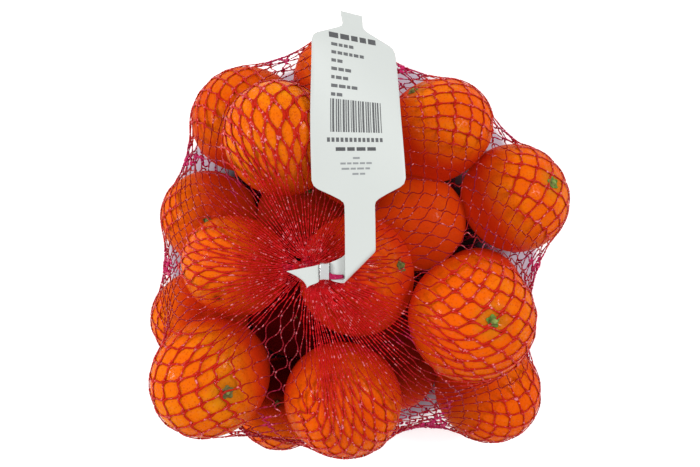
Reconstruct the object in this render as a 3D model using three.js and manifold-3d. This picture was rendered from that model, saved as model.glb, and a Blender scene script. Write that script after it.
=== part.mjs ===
// A knitted net filled with mandarins, lying on its base. Its neck is gathered in a metal clip that also
// holds the strap of a plastic tag, and its other end is gathered in a second clip under the fruit.
// Millimetres, +Z up. The origin is on the floor, under the middle of the filled net.
import * as THREE from "three";
import { mergeVertices } from "three/addons/utils/BufferGeometryUtils.js";
import Module from "manifold-3d";

const wasm = await Module();
wasm.setup();

// ---- Driving dimensions ----

// Each mandarin: where its middle is seen from above, its width, its height from pole to pole, and the
// way its stem end points. The first 13 lie on the floor, and each later one comes down on those before.
const MANDARINS = [
  { at: [-70, 75], width: 65, height: 54, pole: [-0.6, 0.8, 0.1] },
  { at: [-13, 98], width: 57, height: 50, pole: [0.3, 0.2, -0.9] },
  { at: [49, 71], width: 57, height: 51, pole: [-0.7, 0.6, 0.35] },
  { at: [94, 26], width: 63, height: 55, pole: [0.5, 0.25, 0.8] },
  { at: [37, 12], width: 53, height: 47, pole: [0.2, -0.5, -0.8] },
  { at: [-92, 15], width: 57, height: 50, pole: [0.2, -0.1, 1] },
  { at: [-97, -45], width: 57, height: 50, pole: [-0.3, -0.2, -0.9] },
  { at: [-48, -98], width: 54, height: 48, pole: [0, 0.3, 1] },
  { at: [20, -74], width: 54, height: 48, pole: [0.1, -0.4, -0.9] },
  { at: [76, -88], width: 62, height: 54, pole: [0.3, -0.3, -0.9] },
  { at: [72, -30], width: 54, height: 49, pole: [0, 0.1, 1] },
  { at: [-39, -42], width: 56, height: 50, pole: [0.1, 0, 1] },
  { at: [-35, 17], width: 55, height: 50, pole: [0.2, 0.6, 0.8] },
  { at: [4, 45], width: 56, height: 50, pole: [0.1, 0.3, 0.9] },
  { at: [-3, -18], width: 65, height: 56, pole: [0.75, 0.2, 0.6] },
  { at: [-68, -12], width: 57, height: 51, pole: [0.2, 0.6, -0.75] },
  { at: [-42, 53], width: 58, height: 51, pole: [0.3, 0.4, -0.85] },
  { at: [-10, -82], width: 62, height: 55, pole: [0.2, 0.5, -0.85] },
  { at: [-79, -70], width: 62, height: 54, pole: [0.5, -0.05, 0.85] },
  { at: [56, -38], width: 65, height: 56, pole: [0.15, 0.1, 1] },
];
const PRESS = 0.5; // how far two mandarins that touch give way to each other
const FLOOR_PRESS = 1.6; // how far the lowest ones, with the net, are flattened on the floor
const DROP_FROM = 200; // height from which a mandarin comes down
const DROP_STEP = 0.25;

const NET_THICKNESS = 0.8; // between a mandarin's skin and the outside of the net
const WRAP_DETAIL = 19; // each edge of the icosahedron is split into one more part than this
const WRAP_START = new THREE.Vector3(160, 160, 75); // half sizes of the ball that shrinks on to the fruit
const WRAP_ROUNDS = 1500;
const WRAP_PULL = 0.7; // share of the way to the middle of its neighbours that a point goes in a round
const NORMAL_ROUNDS = 5; // rounds between two looks at which way is out
const LEVEL_PULL = 12; // how much harder the net pulls round the bag than up and down its side

// The top of the net is drawn down to its neck, and the underside up into a hollow between the mandarins.
const FUNNEL = { x: -27, y: -12, z: 86, flat: 4, slope: 0.5 };
const HOLLOW = { x: 6, y: -20, rise: 18, spread: 14 };

// The neck: the gathered net passes under the tag's stub, through the clip, and ends in a short tail on
// the strap. Each stop is [x, y, z, half width, half height].
const NECK_STOPS = [
  [-33, -4, 80, 6, 5],
  [-30, -8.5, 86, 5, 3.6],
  [-26, -12.8, 90.4, 3, 2.2],
  [-22, -14.2, 93, 1.8, 1.8],
  [-18.5, -14.2, 93.6, 1.5, 1.8],
  [-15.2, -14.3, 94.9, 1.7, 1.3],
  [-12.6, -14.6, 96.3, 2, 0.8],
  [-10, -14.6, 97, 2, 0.6],
];
const BASE_STOPS = [
  [6, -20, 22, 6, 6],
  [6, -20, 15, 3.6, 3.6],
  [6, -20, 10, 2.2, 2.2],
  [6, -20, 5.5, 2.2, 2.2],
  [6, -20, 3, 4, 4],
  [6, -20, 1.2, 5, 5],
];
const PLEATS = 7; // folds round the gathered net
const PLEAT_DEPTH = 0.16; // share of the radius
const ROPE_SIDES = 28;
const ROPE_STEPS = 3; // rings between two stops

const CLIP_MIDDLE = new THREE.Vector3(-18.5, -12.6, 93.5);
const CLIP_LENGTH = 4.4; // along the neck
const CLIP_WIDTH = 8.8;
const CLIP_HEIGHT = 6.8;
const CLIP_WALL = 0.9;
const CLIP_CORNER = 1.8;
const BASE_CLIP_Z = 7.6;
const BASE_CLIP_SIZE = 6.8;
const BASE_CLIP_LENGTH = 3.6;

// The tag: one thin plastic piece. Its stub ends left of the clip, its strap leaves the clip along +X, is
// folded over on a diagonal, and runs along +Y to the panel and the hanging tab. It is described flat.
const TAG_THICKNESS = 0.5;
const TAG_COLUMNS = 8;
const FOLD_MIDDLE = new THREE.Vector2(-1.55, -11.4); // middle of the strap, half-way round the fold
const FOLD_RADIUS = 1.7;
const FOLD_STEP = 1.2; // distance between rows in and near the fold
const CUT_HOLLOW = 2.4; // how far the cut end of the stub is hollowed
// Rows of the stub and the creased strap: the lower and upper edge, and the height.
const STUB_ROWS = [
  { lower: [-26.8, -20.4], upper: [-36.7, -12.5], z: 95.2 },
  { lower: [-25.9, -19.2], upper: [-32, -11.6], z: 95.8 },
  { lower: [-24.8, -16.2], upper: [-27.5, -10.7], z: 96 },
  { lower: [-23.2, -13], upper: [-23.6, -9.9], z: 95.1 },
  { lower: [-21.2, -12.2], upper: [-21.2, -9.5], z: 93.6 },
  { lower: [-18.5, -12.2], upper: [-18.5, -9.5], z: 93 },
  { lower: [-16, -12.4], upper: [-16, -9.5], z: 93.1 },
  { lower: [-14, -13.6], upper: [-14, -8.2], z: 93.7 },
  { lower: [-11.8, -16.8], upper: [-11.8, -7], z: 94.7 },
  { lower: [-9.6, -18.4], upper: [-9.6, -5.4], z: 95.4 },
];
const STRAP_Z = 95.6; // height of the strap before the fold
// The outline past the fold: distance along the tag from the fold, and half width there.
const TAG_OUTLINE = [
  [-7, 7.15], [12, 7.15], [30, 7.15], [31.6, 7.6], [33, 9.2], [35.2, 13.2], [38.2, 19.4], [39.8, 21.3],
  [42.4, 22.2], [108, 22.2], [110.2, 21.4], [111.6, 19.7], [114.6, 13], [116.8, 8.2], [118, 6.3],
  [119.6, 5.6], [126, 6.1],
];
const TAG_ROW_STEP = 6; // most distance between two rows of the outline
// The middle line of the tag past the fold, as [x, y, z, fall towards its right edge].
const TAG_LINE = [
  [-1.55, -23.4, 99, 0],
  [-1.55, -5, 99, 0],
  [-1.7, 12, 99.2, 0.02],
  [-2.2, 30.5, 99, 0.07],
  [-3.2, 58.5, 97.3, 0.24],
  [-4, 95.5, 91.6, 0.46],
  [-6, 116, 87, 0.56],
];

// ---- Helpers ----

// A closed geometry as a solid that can be joined and cut.
function solidOf(geometry) {
  const bare = new THREE.BufferGeometry();
  bare.setAttribute("position", geometry.getAttribute("position"));
  bare.setIndex(geometry.index);
  const merged = mergeVertices(bare, 1e-4);
  return new wasm.Manifold(
    new wasm.Mesh({
      numProp: 3,
      vertProperties: new Float32Array(merged.attributes.position.array),
      triVerts: new Uint32Array(merged.index.array),
    }),
  );
}

function geometryOf(solid) {
  const mesh = solid.getMesh();
  const geometry = new THREE.BufferGeometry();
  geometry.setAttribute("position", new THREE.BufferAttribute(mesh.vertProperties, 3));
  geometry.setIndex(new THREE.BufferAttribute(mesh.triVerts, 1));
  geometry.computeVertexNormals();
  return geometry;
}

function indexed(positions, triangles) {
  const geometry = new THREE.BufferGeometry();
  geometry.setAttribute("position", new THREE.Float32BufferAttribute(positions.flat(), 3));
  geometry.setIndex(triangles.flat());
  geometry.computeVertexNormals();
  return geometry;
}

// ---- The heap of mandarins ----

// Distance from an ellipsoid's middle to the plane that touches it in a direction.
function reach(fruit, direction) {
  const along = fruit.pole.dot(direction);
  return Math.sqrt(fruit.radius ** 2 * (1 - along ** 2) + fruit.halfHeight ** 2 * along ** 2);
}

function gapBetween(a, b) {
  const apart = new THREE.Vector3().subVectors(b.middle, a.middle);
  const distance = apart.length();
  apart.divideScalar(distance);
  return distance - reach(a, apart) - reach(b, apart);
}

function lay(mandarins) {
  const up = new THREE.Vector3(0, 0, 1);
  const heap = [];
  for (const { at, width, height, pole } of mandarins) {
    const fruit = {
      middle: new THREE.Vector3(at[0], at[1], DROP_FROM),
      radius: width / 2,
      halfHeight: height / 2,
      pole: new THREE.Vector3(...pole).normalize(),
    };
    const down = reach(fruit, up) + NET_THICKNESS - FLOOR_PRESS;
    const touches = () => heap.some((other) => gapBetween(other, fruit) < -PRESS);
    while (fruit.middle.z > down && !touches()) fruit.middle.z -= DROP_STEP;
    fruit.middle.z = Math.max(fruit.middle.z, down);
    heap.push(fruit);
  }
  return heap;
}

// ---- The filled net ----

function neighboursOf(geometry) {
  const sets = Array.from({ length: geometry.attributes.position.count }, () => new Set());
  const index = geometry.index.array;
  for (let i = 0; i < index.length; i += 3) {
    for (let k = 0; k < 3; k++) {
      sets[index[i + k]].add(index[i + ((k + 1) % 3)]);
      sets[index[i + k]].add(index[i + ((k + 2) % 3)]);
    }
  }
  return sets.map((set) => [...set]);
}

// Moves a point that is inside a mandarin, with the net's thickness round it, straight out of it.
function pushOut(point, fruit) {
  const from = new THREE.Vector3().subVectors(point, fruit.middle);
  if (from.lengthSq() > (fruit.radius + NET_THICKNESS) ** 2) return;
  const along = from.dot(fruit.pole);
  const across = Math.sqrt(Math.max(from.lengthSq() - along ** 2, 0));
  const size = Math.hypot(
    across / (fruit.radius + NET_THICKNESS),
    along / (fruit.halfHeight + NET_THICKNESS),
  );
  if (size < 1) point.copy(fruit.middle).addScaledVector(from, 1 / Math.max(size, 1e-6));
}

// Lowest height of the net over a place on the floor.
function lowest(x, y) {
  const away = Math.hypot(x - HOLLOW.x, y - HOLLOW.y) / HOLLOW.spread;
  const rise = HOLLOW.rise * Math.exp(-(away ** 1.5));
  return rise < 0.3 ? 0 : rise;
}

// Greatest height of the net over a place on the floor.
function highest(x, y) {
  const away = Math.hypot(x - FUNNEL.x, y - FUNNEL.y);
  return FUNNEL.z + FUNNEL.slope * Math.max(away - FUNNEL.flat, 0);
}

// The net as a film. It starts as a large ball, and its points move towards the middle of their
// neighbours again and again, which keeps them evenly spread. In and out, a point follows the stronger
// pull round the bag. No point may enter a mandarin or the floor, so the film bridges the gaps.
function wrap(heap) {
  const ball = new THREE.IcosahedronGeometry(1, WRAP_DETAIL);
  ball.deleteAttribute("normal");
  ball.deleteAttribute("uv");
  const film = mergeVertices(ball, 1e-5);
  const position = film.attributes.position;
  const top = heap.reduce((most, f) => Math.max(most, f.middle.z + f.radius), 0);
  const points = [];
  for (let i = 0; i < position.count; i++) {
    const point = new THREE.Vector3().fromBufferAttribute(position, i);
    points.push(point.multiply(WRAP_START).add(new THREE.Vector3(0, 0, top / 2)));
  }
  const neighbours = neighboursOf(film);
  const normal = new THREE.Vector3();
  const away = new THREE.Vector3();
  const even = new THREE.Vector3();
  const level = new THREE.Vector3();
  for (let round = 0; round < WRAP_ROUNDS; round++) {
    points.forEach((point, i) => position.setXYZ(i, point.x, point.y, point.z));
    if (round % NORMAL_ROUNDS === 0) film.computeVertexNormals();
    const before = points.map((point) => point.clone());
    points.forEach((point, i) => {
      even.set(0, 0, 0);
      level.set(0, 0, 0);
      let total = 0;
      for (const other of neighbours[i]) {
        away.subVectors(before[other], point);
        const pull = 1 + LEVEL_PULL * (1 - away.z ** 2 / away.lengthSq()) ** 2;
        even.addScaledVector(away, 1 / neighbours[i].length);
        level.addScaledVector(away, pull);
        total += pull;
      }
      normal.fromBufferAttribute(film.attributes.normal, i);
      const inward = level.dot(normal) / total - even.dot(normal);
      point.addScaledVector(even.addScaledVector(normal, inward), WRAP_PULL);
      point.z = Math.min(point.z, highest(point.x, point.y));
      for (const fruit of heap) pushOut(point, fruit);
      point.z = Math.max(point.z, lowest(point.x, point.y));
    });
  }
  points.forEach((point, i) => position.setXYZ(i, point.x, point.y, point.z));
  return film;
}

// A gathered, pleated rope of net through stops of [x, y, z, half width, half height]. Its width lies
// level and across the path, or along X where the path is upright.
function gatheredNet(stops) {
  const path = new THREE.CatmullRomCurve3(stops.map(([x, y, z]) => new THREE.Vector3(x, y, z)));
  const rings = ROPE_STEPS * (stops.length - 1);
  const positions = [];
  const triangles = [];
  for (let r = 0; r <= rings; r++) {
    const stop = Math.min(Math.floor(r / ROPE_STEPS), stops.length - 2);
    const part = r / ROPE_STEPS - stop;
    const halfWidth = THREE.MathUtils.lerp(stops[stop][3], stops[stop + 1][3], part);
    const halfHeight = THREE.MathUtils.lerp(stops[stop][4], stops[stop + 1][4], part);
    const centre = path.getPoint(r / rings);
    const along = path.getTangent(r / rings);
    const side = new THREE.Vector3(0, 0, 1).cross(along);
    if (side.length() < 0.1) side.set(1, 0, 0);
    side.normalize();
    const over = new THREE.Vector3().crossVectors(along, side);
    for (let k = 0; k < ROPE_SIDES; k++) {
      const angle = (2 * Math.PI * k) / ROPE_SIDES;
      const size = 1 - PLEAT_DEPTH * (0.5 + 0.5 * Math.cos(PLEATS * angle));
      const point = centre.clone();
      point.addScaledVector(side, size * halfWidth * Math.cos(angle));
      point.addScaledVector(over, size * halfHeight * Math.sin(angle));
      positions.push(point.toArray());
    }
  }
  const around = (r, k) => r * ROPE_SIDES + (k % ROPE_SIDES);
  for (let r = 0; r < rings; r++) {
    for (let k = 0; k < ROPE_SIDES; k++) {
      triangles.push([around(r, k), around(r, k + 1), around(r + 1, k + 1)]);
      triangles.push([around(r, k), around(r + 1, k + 1), around(r + 1, k)]);
    }
  }
  const start = positions.push(stops[0].slice(0, 3)) - 1;
  const end = positions.push(stops[stops.length - 1].slice(0, 3)) - 1;
  for (let k = 0; k < ROPE_SIDES; k++) {
    triangles.push([start, around(0, k + 1), around(0, k)]);
    triangles.push([end, around(rings, k), around(rings, k + 1)]);
  }
  return indexed(positions, triangles);
}

function filledNet() {
  const body = solidOf(wrap(lay(MANDARINS)));
  const neck = solidOf(gatheredNet(NECK_STOPS));
  const base = solidOf(gatheredNet(BASE_STOPS));
  return geometryOf(body.add(neck).add(base));
}

// ---- The clips ----

function roundedRectangle(width, height, corner) {
  const x = width / 2 - corner;
  const y = height / 2 - corner;
  const shape = new THREE.Shape();
  shape.absarc(x, y, corner, 0, Math.PI / 2);
  shape.absarc(-x, y, corner, Math.PI / 2, Math.PI);
  shape.absarc(-x, -y, corner, Math.PI, 1.5 * Math.PI);
  shape.absarc(x, -y, corner, 1.5 * Math.PI, 2 * Math.PI);
  shape.closePath();
  return shape;
}

// A metal band bent into a rectangle with round corners, which faces along +Z.
function clipBand(width, height, length) {
  const ring = roundedRectangle(width, height, CLIP_CORNER);
  const inner = CLIP_CORNER - CLIP_WALL;
  ring.holes.push(roundedRectangle(width - 2 * CLIP_WALL, height - 2 * CLIP_WALL, inner));
  const geometry = new THREE.ExtrudeGeometry(ring, {
    depth: length,
    bevelEnabled: false,
    curveSegments: 5,
  });
  return geometry.translate(0, 0, -length / 2);
}

function neckClip() {
  const geometry = clipBand(CLIP_HEIGHT, CLIP_WIDTH, CLIP_LENGTH);
  geometry.rotateY(Math.PI / 2);
  return geometry.translate(...CLIP_MIDDLE.toArray());
}

function baseClip() {
  const geometry = clipBand(BASE_CLIP_SIZE, BASE_CLIP_SIZE, BASE_CLIP_LENGTH);
  return geometry.translate(HOLLOW.x, HOLLOW.y, BASE_CLIP_Z);
}

// ---- The tag ----

// Middle of the tag past the fold, the direction across it and its right-hand fall, at a distance along.
function tagFrame(path, along) {
  const start = FOLD_MIDDLE.y - TAG_LINE[0][1];
  const t = THREE.MathUtils.clamp((along + start) / path.getLength(), 0, 1);
  const middle = path.getPointAt(t);
  const forward = path.getTangentAt(t);
  const last = TAG_LINE.length - 2;
  let i = 0;
  while (i < last && middle.y > TAG_LINE[i + 1][1]) i++;
  const part = (middle.y - TAG_LINE[i][1]) / (TAG_LINE[i + 1][1] - TAG_LINE[i][1]);
  const fall = THREE.MathUtils.lerp(TAG_LINE[i][3], TAG_LINE[i + 1][3], part);
  const across = new THREE.Vector3(1, 0, -fall);
  across.addScaledVector(forward, -across.dot(forward)).normalize();
  return { middle, across };
}

// Bends a point of the flat tag over the diagonal fold. A point that isn't past it keeps its height z.
function folded(path, x, y, z) {
  const apart = (x - FOLD_MIDDLE.x - (y - FOLD_MIDDLE.y)) / Math.SQRT2;
  const line = (x - FOLD_MIDDLE.x + (y - FOLD_MIDDLE.y)) / Math.SQRT2;
  const bend = Math.PI * FOLD_RADIUS;
  const past = apart + bend / 2;
  if (past <= 0) return new THREE.Vector3(x, y, z);
  const { middle, across } = tagFrame(path, x - FOLD_MIDDLE.x);
  const upper = middle.addScaledVector(across, y - FOLD_MIDDLE.y);
  if (past >= bend) return upper;
  const out = FOLD_RADIUS * Math.sin(past / FOLD_RADIUS) - bend / 2;
  return new THREE.Vector3(
    FOLD_MIDDLE.x + (line + out) / Math.SQRT2,
    FOLD_MIDDLE.y + (line - out) / Math.SQRT2,
    THREE.MathUtils.lerp(z, upper.z, (1 - Math.cos(past / FOLD_RADIUS)) / 2),
  );
}

// The tag's middle surface as rows of points, each from its lower or left edge to the other.
function tagRows() {
  const path = new THREE.CatmullRomCurve3(TAG_LINE.map(([x, y, z]) => new THREE.Vector3(x, y, z)));
  const rows = STUB_ROWS.map(({ lower, upper, z }, i) => {
    const hollow = i === 0 ? CUT_HOLLOW : 0;
    return acrossTag((v) => {
      const x = THREE.MathUtils.lerp(lower[0], upper[0], v) + 4 * hollow * v * (1 - v);
      return folded(path, x, THREE.MathUtils.lerp(lower[1], upper[1], v), z);
    });
  });
  for (let i = 1; i < TAG_OUTLINE.length; i++) {
    const [from, to] = [TAG_OUTLINE[i - 1], TAG_OUTLINE[i]];
    const step = i === 1 ? FOLD_STEP : TAG_ROW_STEP;
    const count = Math.ceil((to[0] - from[0]) / step);
    for (let k = i === 1 ? 0 : 1; k <= count; k++) {
      const along = THREE.MathUtils.lerp(from[0], to[0], k / count);
      const half = THREE.MathUtils.lerp(from[1], to[1], k / count);
      rows.push(
        acrossTag((v) => folded(path, FOLD_MIDDLE.x + along, FOLD_MIDDLE.y + half * (2 * v - 1), STRAP_Z)),
      );
    }
  }
  return rows;
}

function acrossTag(pointAt) {
  return Array.from({ length: TAG_COLUMNS + 1 }, (_, k) => pointAt(k / TAG_COLUMNS));
}

// A sheet of even thickness about a surface that is given as rows of points.
function sheet(rows, thickness) {
  const columns = rows[0].length;
  const clampRow = (r) => rows[Math.min(Math.max(r, 0), rows.length - 1)];
  const positions = [];
  for (const side of [0.5, -0.5]) {
    rows.forEach((row, r) => {
      row.forEach((point, c) => {
        const along = new THREE.Vector3().subVectors(clampRow(r + 1)[c], clampRow(r - 1)[c]);
        const across = row[Math.min(c + 1, columns - 1)].clone().sub(row[Math.max(c - 1, 0)]);
        const normal = along.cross(across).normalize();
        positions.push(point.clone().addScaledVector(normal, side * thickness).toArray());
      });
    });
  }
  const under = rows.length * columns;
  const at = (r, c) => r * columns + c;
  const triangles = [];
  for (let r = 0; r < rows.length - 1; r++) {
    for (let c = 0; c < columns - 1; c++) {
      const quad = [at(r, c), at(r + 1, c), at(r + 1, c + 1), at(r, c + 1)];
      triangles.push([quad[0], quad[1], quad[2]], [quad[0], quad[2], quad[3]]);
      triangles.push([quad[2] + under, quad[1] + under, quad[0] + under]);
      triangles.push([quad[3] + under, quad[2] + under, quad[0] + under]);
    }
  }
  const rim = [];
  for (let c = 0; c < columns - 1; c++) rim.push(at(0, c));
  for (let r = 0; r < rows.length - 1; r++) rim.push(at(r, columns - 1));
  for (let c = columns - 1; c > 0; c--) rim.push(at(rows.length - 1, c));
  for (let r = rows.length - 1; r > 0; r--) rim.push(at(r, 0));
  rim.forEach((a, i) => {
    const b = rim[(i + 1) % rim.length];
    triangles.push([a, b, b + under], [a, b + under, a + under]);
  });
  return indexed(positions, triangles);
}

// ---- The whole ----

function part(name, geometry, look) {
  const mesh = new THREE.Mesh(geometry, new THREE.MeshStandardMaterial(look));
  mesh.name = name;
  return mesh;
}

const METAL = { color: 0xb8babd, roughness: 0.3, metalness: 1 };

const bag = new THREE.Group();
bag.add(part("filled_net", filledNet(), { color: 0xd23a14, roughness: 0.45 }));
bag.add(part("label_tag", sheet(tagRows(), TAG_THICKNESS), { color: 0xdbe2df, roughness: 0.4 }));
bag.add(part("neck_clip", neckClip(), METAL));
bag.add(part("base_clip", baseClip(), METAL));

export default bag;
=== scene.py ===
"""A knitted net of mandarins, with its neck clip and strap tag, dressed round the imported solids."""
import math

import bpy
import numpy as np
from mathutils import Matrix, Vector
from mathutils.bvhtree import BVHTree


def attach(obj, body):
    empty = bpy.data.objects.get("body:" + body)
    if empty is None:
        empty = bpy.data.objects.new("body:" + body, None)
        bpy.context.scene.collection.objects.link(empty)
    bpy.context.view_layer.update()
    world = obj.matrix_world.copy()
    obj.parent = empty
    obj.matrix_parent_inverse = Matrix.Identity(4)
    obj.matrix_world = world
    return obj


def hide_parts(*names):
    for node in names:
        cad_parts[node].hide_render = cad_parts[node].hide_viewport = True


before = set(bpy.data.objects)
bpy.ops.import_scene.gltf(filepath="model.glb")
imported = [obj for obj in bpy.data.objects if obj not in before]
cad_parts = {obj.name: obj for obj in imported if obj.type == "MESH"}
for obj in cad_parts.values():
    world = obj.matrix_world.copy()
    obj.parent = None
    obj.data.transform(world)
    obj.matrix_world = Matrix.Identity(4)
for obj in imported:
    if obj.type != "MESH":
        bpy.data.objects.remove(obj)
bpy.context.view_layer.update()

MM = 0.001  # every size below is in millimetres
UP = np.array([0.0, 0.0, 1.0])
TURN = 2 * math.pi

# ---- The fruit ----

# Each mandarin: its place seen from above, width, height from pole to pole, and the way its stem end
# points. Each one comes down until it meets the floor or those before it.
MANDARINS = [
    ("a", (-70, 75), 65, 54, (-0.6, 0.8, 0.1)),
    ("c", (-13, 98), 57, 50, (0.3, 0.2, -0.9)),
    ("d", (49, 71), 57, 51, (-0.52, 0.73, 0.45)),
    ("e", (94, 26), 63, 55, (0.5, 0.25, 0.8)),
    ("f", (37, 12), 53, 47, (0.2, -0.5, -0.8)),
    ("g", (-92, 15), 57, 50, (0.2, -0.1, 1)),
    ("p", (-97, -45), 57, 50, (-0.3, -0.2, -0.9)),
    ("o", (-48, -98), 54, 48, (0, 0.3, 1)),
    ("n", (20, -74), 54, 48, (0.1, -0.4, -0.9)),
    ("m", (76, -88), 62, 54, (0.3, -0.3, -0.9)),
    ("s", (72, -30), 54, 49, (0, 0.1, 1)),
    ("t", (-39, -42), 56, 50, (0.1, 0, 1)),
    ("u", (-35, 17), 55, 50, (0.2, 0.6, 0.8)),
    ("q", (4, 45), 56, 50, (0.1, 0.3, 0.9)),
    ("i", (-3, -18), 65, 56, (0.75, 0.2, 0.6)),
    ("h", (-68, -12), 57, 51, (0.2, 0.6, -0.75)),
    ("b", (-42, 53), 58, 51, (0.3, 0.4, -0.85)),
    ("l", (-10, -82), 62, 55, (0.2, 0.5, -0.85)),
    ("k", (-79, -70), 62, 54, (0.5, -0.05, 0.85)),
    ("j", (56, -38), 65, 56, (0.15, 0.1, 1)),
]
PRESS = 0.5  # how far two mandarins press into each other, and next how far one presses into the floor
FLOOR_PRESS = 1.6
NET_THICKNESS = 0.8
DROP_FROM = 200
DROP_STEP = 0.25
MEET_GAP = 0.6  # mandarins closer than this have flats where they face each other
FLAT_ROOM = 0.03

PEEL_ROWS = 60
PEEL_COLUMNS = 92
UNEVEN = 0.0224  # share of its size by which a mandarin swells and sinks
LOBES = 5
LOBE_WAVES = 1.9
DIMPLE = (1.2, 2.2)  # least and greatest depth at the stem end
DIMPLE_REACH = 5.2
FOLDS = (7, 11)  # fewest folds round the stem end, and one more than the most
FOLD_DEPTH = (0.1, 0.35)
FOLD_AT = 8
FOLD_REACH = 5
BLOSSOM_DIMPLE = 0.8
BLOSSOM_REACH = 3
FLAT_EDGE = 0.35  # how softly a pressed flat begins

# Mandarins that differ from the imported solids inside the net, most of them fuller on their inner sides:
# where the middle moves, and their width and height.
FULLER = {
    "a": (1.2, -1.6, 65, 58),
    "d": (-3.4, -3.6, 68, 59.5),
    "e": (-1.1, 0.8, 66, 58),
    "f": (-4.0, 0.6, 62, 54),
    "i": (0.2, 0.8, 66, 61),
    "q": (-6.5, 0.0, 50, 46),
}

# How yellow each mandarin is, from a deep to a light orange. Those left out are halfway.
TONES = {
    "k": 0.85, "h": 0.9, "b": 1.0, "a": 0.2, "g": 0.75, "p": 0.6, "j": 0.45, "e": 0.45, "c": 0.35, "d": 0.45,
    "l": 0.25, "m": 0.3, "n": 0.4, "f": 0.15, "i": 0.1, "q": 0.0, "u": 0.2, "t": 0.2, "s": 0.2,
}

# How much of the heap's shade the deeper mandarins get, and how much the rest get.
SHADES = {"t": 1.0, "n": 0.9, "u": 0.75, "q": 0.5, "k": 0.7, "l": 0.7, "o": 1.5}
# The part of each share that is left over becomes a painted glow in the same shade.
OPEN_SHADE = 0.25

# How much of the painted heap shade some get all over besides, which makes them darker, rougher and less
# glossy.
DULLED = {"a": 0.13, "c": 0.1}

# How much of the painted red shade under the net some mandarins get, for those that get less.
REDDENED = {"f": 0.45}
# Painted shade: the peel's steep sides are darker, as if less light fell on them.
SIDE_SLOPE = (0.1, 0.75)  # from how steep to how level the peel loses the darker tone of its sides

# How dark the scar at the blossom end is where it is plain, and elsewhere, and how far it reaches.
SCARS = {"h": 1.0}
FAINT_SCAR = 0.12
SCAR_REACH = 1.9
# Stem ends that are a scar themselves, and how far it reaches.
STEM_SCARS = {"o": 2.8}

# What is left of each stem: how wide its star spreads, how high its stub stands, and how brown it is.
CALYX = (2.9, 1.3, 0.45)
CALYXES = {
    "j": (3.3, 4.2, 0.0),
    "e": (4.1, 1.7, 0.05),
    "k": (3.6, 1.6, 0.85),
    "d": (3.4, 1.3, 0.6),
    "i": (3.6, 1.9, 0.75),
    "u": (2.9, 2.2, 0.35),
    "g": (2.6, 0.9, 0.5),
    "o": (1.5, 0.2, 1.0),
    "t": (0.7, 0.0, 1.0),
}
CALYX_RINGS = 9
CALYX_SECTORS = 40
CALYX_POINTS = 5
CALYX_RAGGED = 0.12
CALYX_LEAF = (0.5, 0.35)  # thickness, and how far its points curl up
CALYX_ROUGH = 0.1
CALYX_SINK = 0.4
STUB_RADIUS = 1.25
STUB_EDGE = 0.16
STUB_CROWN = 0.3
# The ring is partly the calyx's own brown and partly a painted shadow at the stub's foot, heavier on one
# side.
BROWN_RING = (1.75, 0.5)  # middle and width of the browner ring round the stub

# ---- The net ----

# The rings where the gathered neck and the gathered closed end begin.
FUNNEL = (-27, -12, 86.4)
FUNNEL_RING = 4.4
HOLLOW = (6, -20, 19)
HOLLOW_RING = 5
RING_CLEAR = 2
WALES = 124  # strands round the net
COURSES = 44  # rows of joints from one end to the other
JOINT_LENGTH = 3.0
LEG_LENGTH = 5.6
LEG_SPREAD = 0.05
BAG_MIDDLE = (0, 0, 48)
GRID_STEP = 3.0
GRID_MARGIN = 7.0
NET_INSET = 0.35
# What belongs to a gathered rope, and not to the film: how steeply the rope's side stands round the neck,
# how far out and how high it reaches, and how far out and down from the hollow the lower one does.
ROPE_SLOPE = 0.5
ROPE_REACH = 24
ROPE_TOP = 100
LOWER_ROPE = (7, 3)

RELAX_ROUNDS = 900
JOINT_PULL = (3.6, 3.6)  # how stiff when stretched, and when slack
LEG_PULL = (1.0, 0.25)
SPEED_KEPT = 0.93
FORCE_SHARE = 0.17
# How firmly the first courses keep their spread round the neck, over how many courses, and where they
# lie closer or wider than elsewhere: the way from the neck, the width of that part, and how much.
SPREAD_HOLD = 0.5
SPREAD_COURSES = 13
CROWDS = [(-1.0, 0.6, 1.2), (3.5, 0.4, 0.45), (-1.95, 0.3, -0.6), (1.95, 0.45, 0.45), (2.55, 0.22, 0.45)]
# Waves in that spread: how far, how many round the neck, and where they start.
SPREAD_WAVES = [(0.02, 7, 1), (0.014, 13, 2), (0.01, 29, 0)]
PULLED = 0.8  # how far crowded strands straighten in each round
PULLED_ROUNDS = 12
EVEN_PULL = 0.3  # how far all of them do at least, in the first rounds
EVEN_ROUNDS = 5

STRAND_WIDE = 1.0
STRAND_THICK = 0.55
STRAND_SIDES = 6
STRAND_PITCH = 5.2
STRAND_ROOM = 0.42  # from the peel to a strand's middle
STRAND_LOWEST = 0.45
STRAND_SWING = 1.6  # how far a strand turns to and fro, and how much less one that lies on a mandarin
HELD_SWING = 1.2
JOINT_SWELL = 1.4
JOINT_APART = 0.55
JOINT_STEPS = 3
LEG_STEPS = 5
LEG_BEND = 0.35
FREE_WIDE = 0.56  # width of a strand in the air, as a share of one that lies on a mandarin
RIM_SLOPE = (0.1, 0.5)  # from how steep to how level the bag's side stops counting as its rim
OUTER_WIDE = 2.2  # how far a strand that hangs free at the rim gets that width back
WIDER_AT = (-42, 53, 80)  # where the strands lie flatter and look wider
WIDER = 0.6
WIDER_REACH = 32
CROWDED_THIN = 0.4  # share of its width that a strand loses where strands crowd together
NET_BANDS = ("net_shoulder", "net_upper_side", "net_lower_side", "net_underside")

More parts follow.
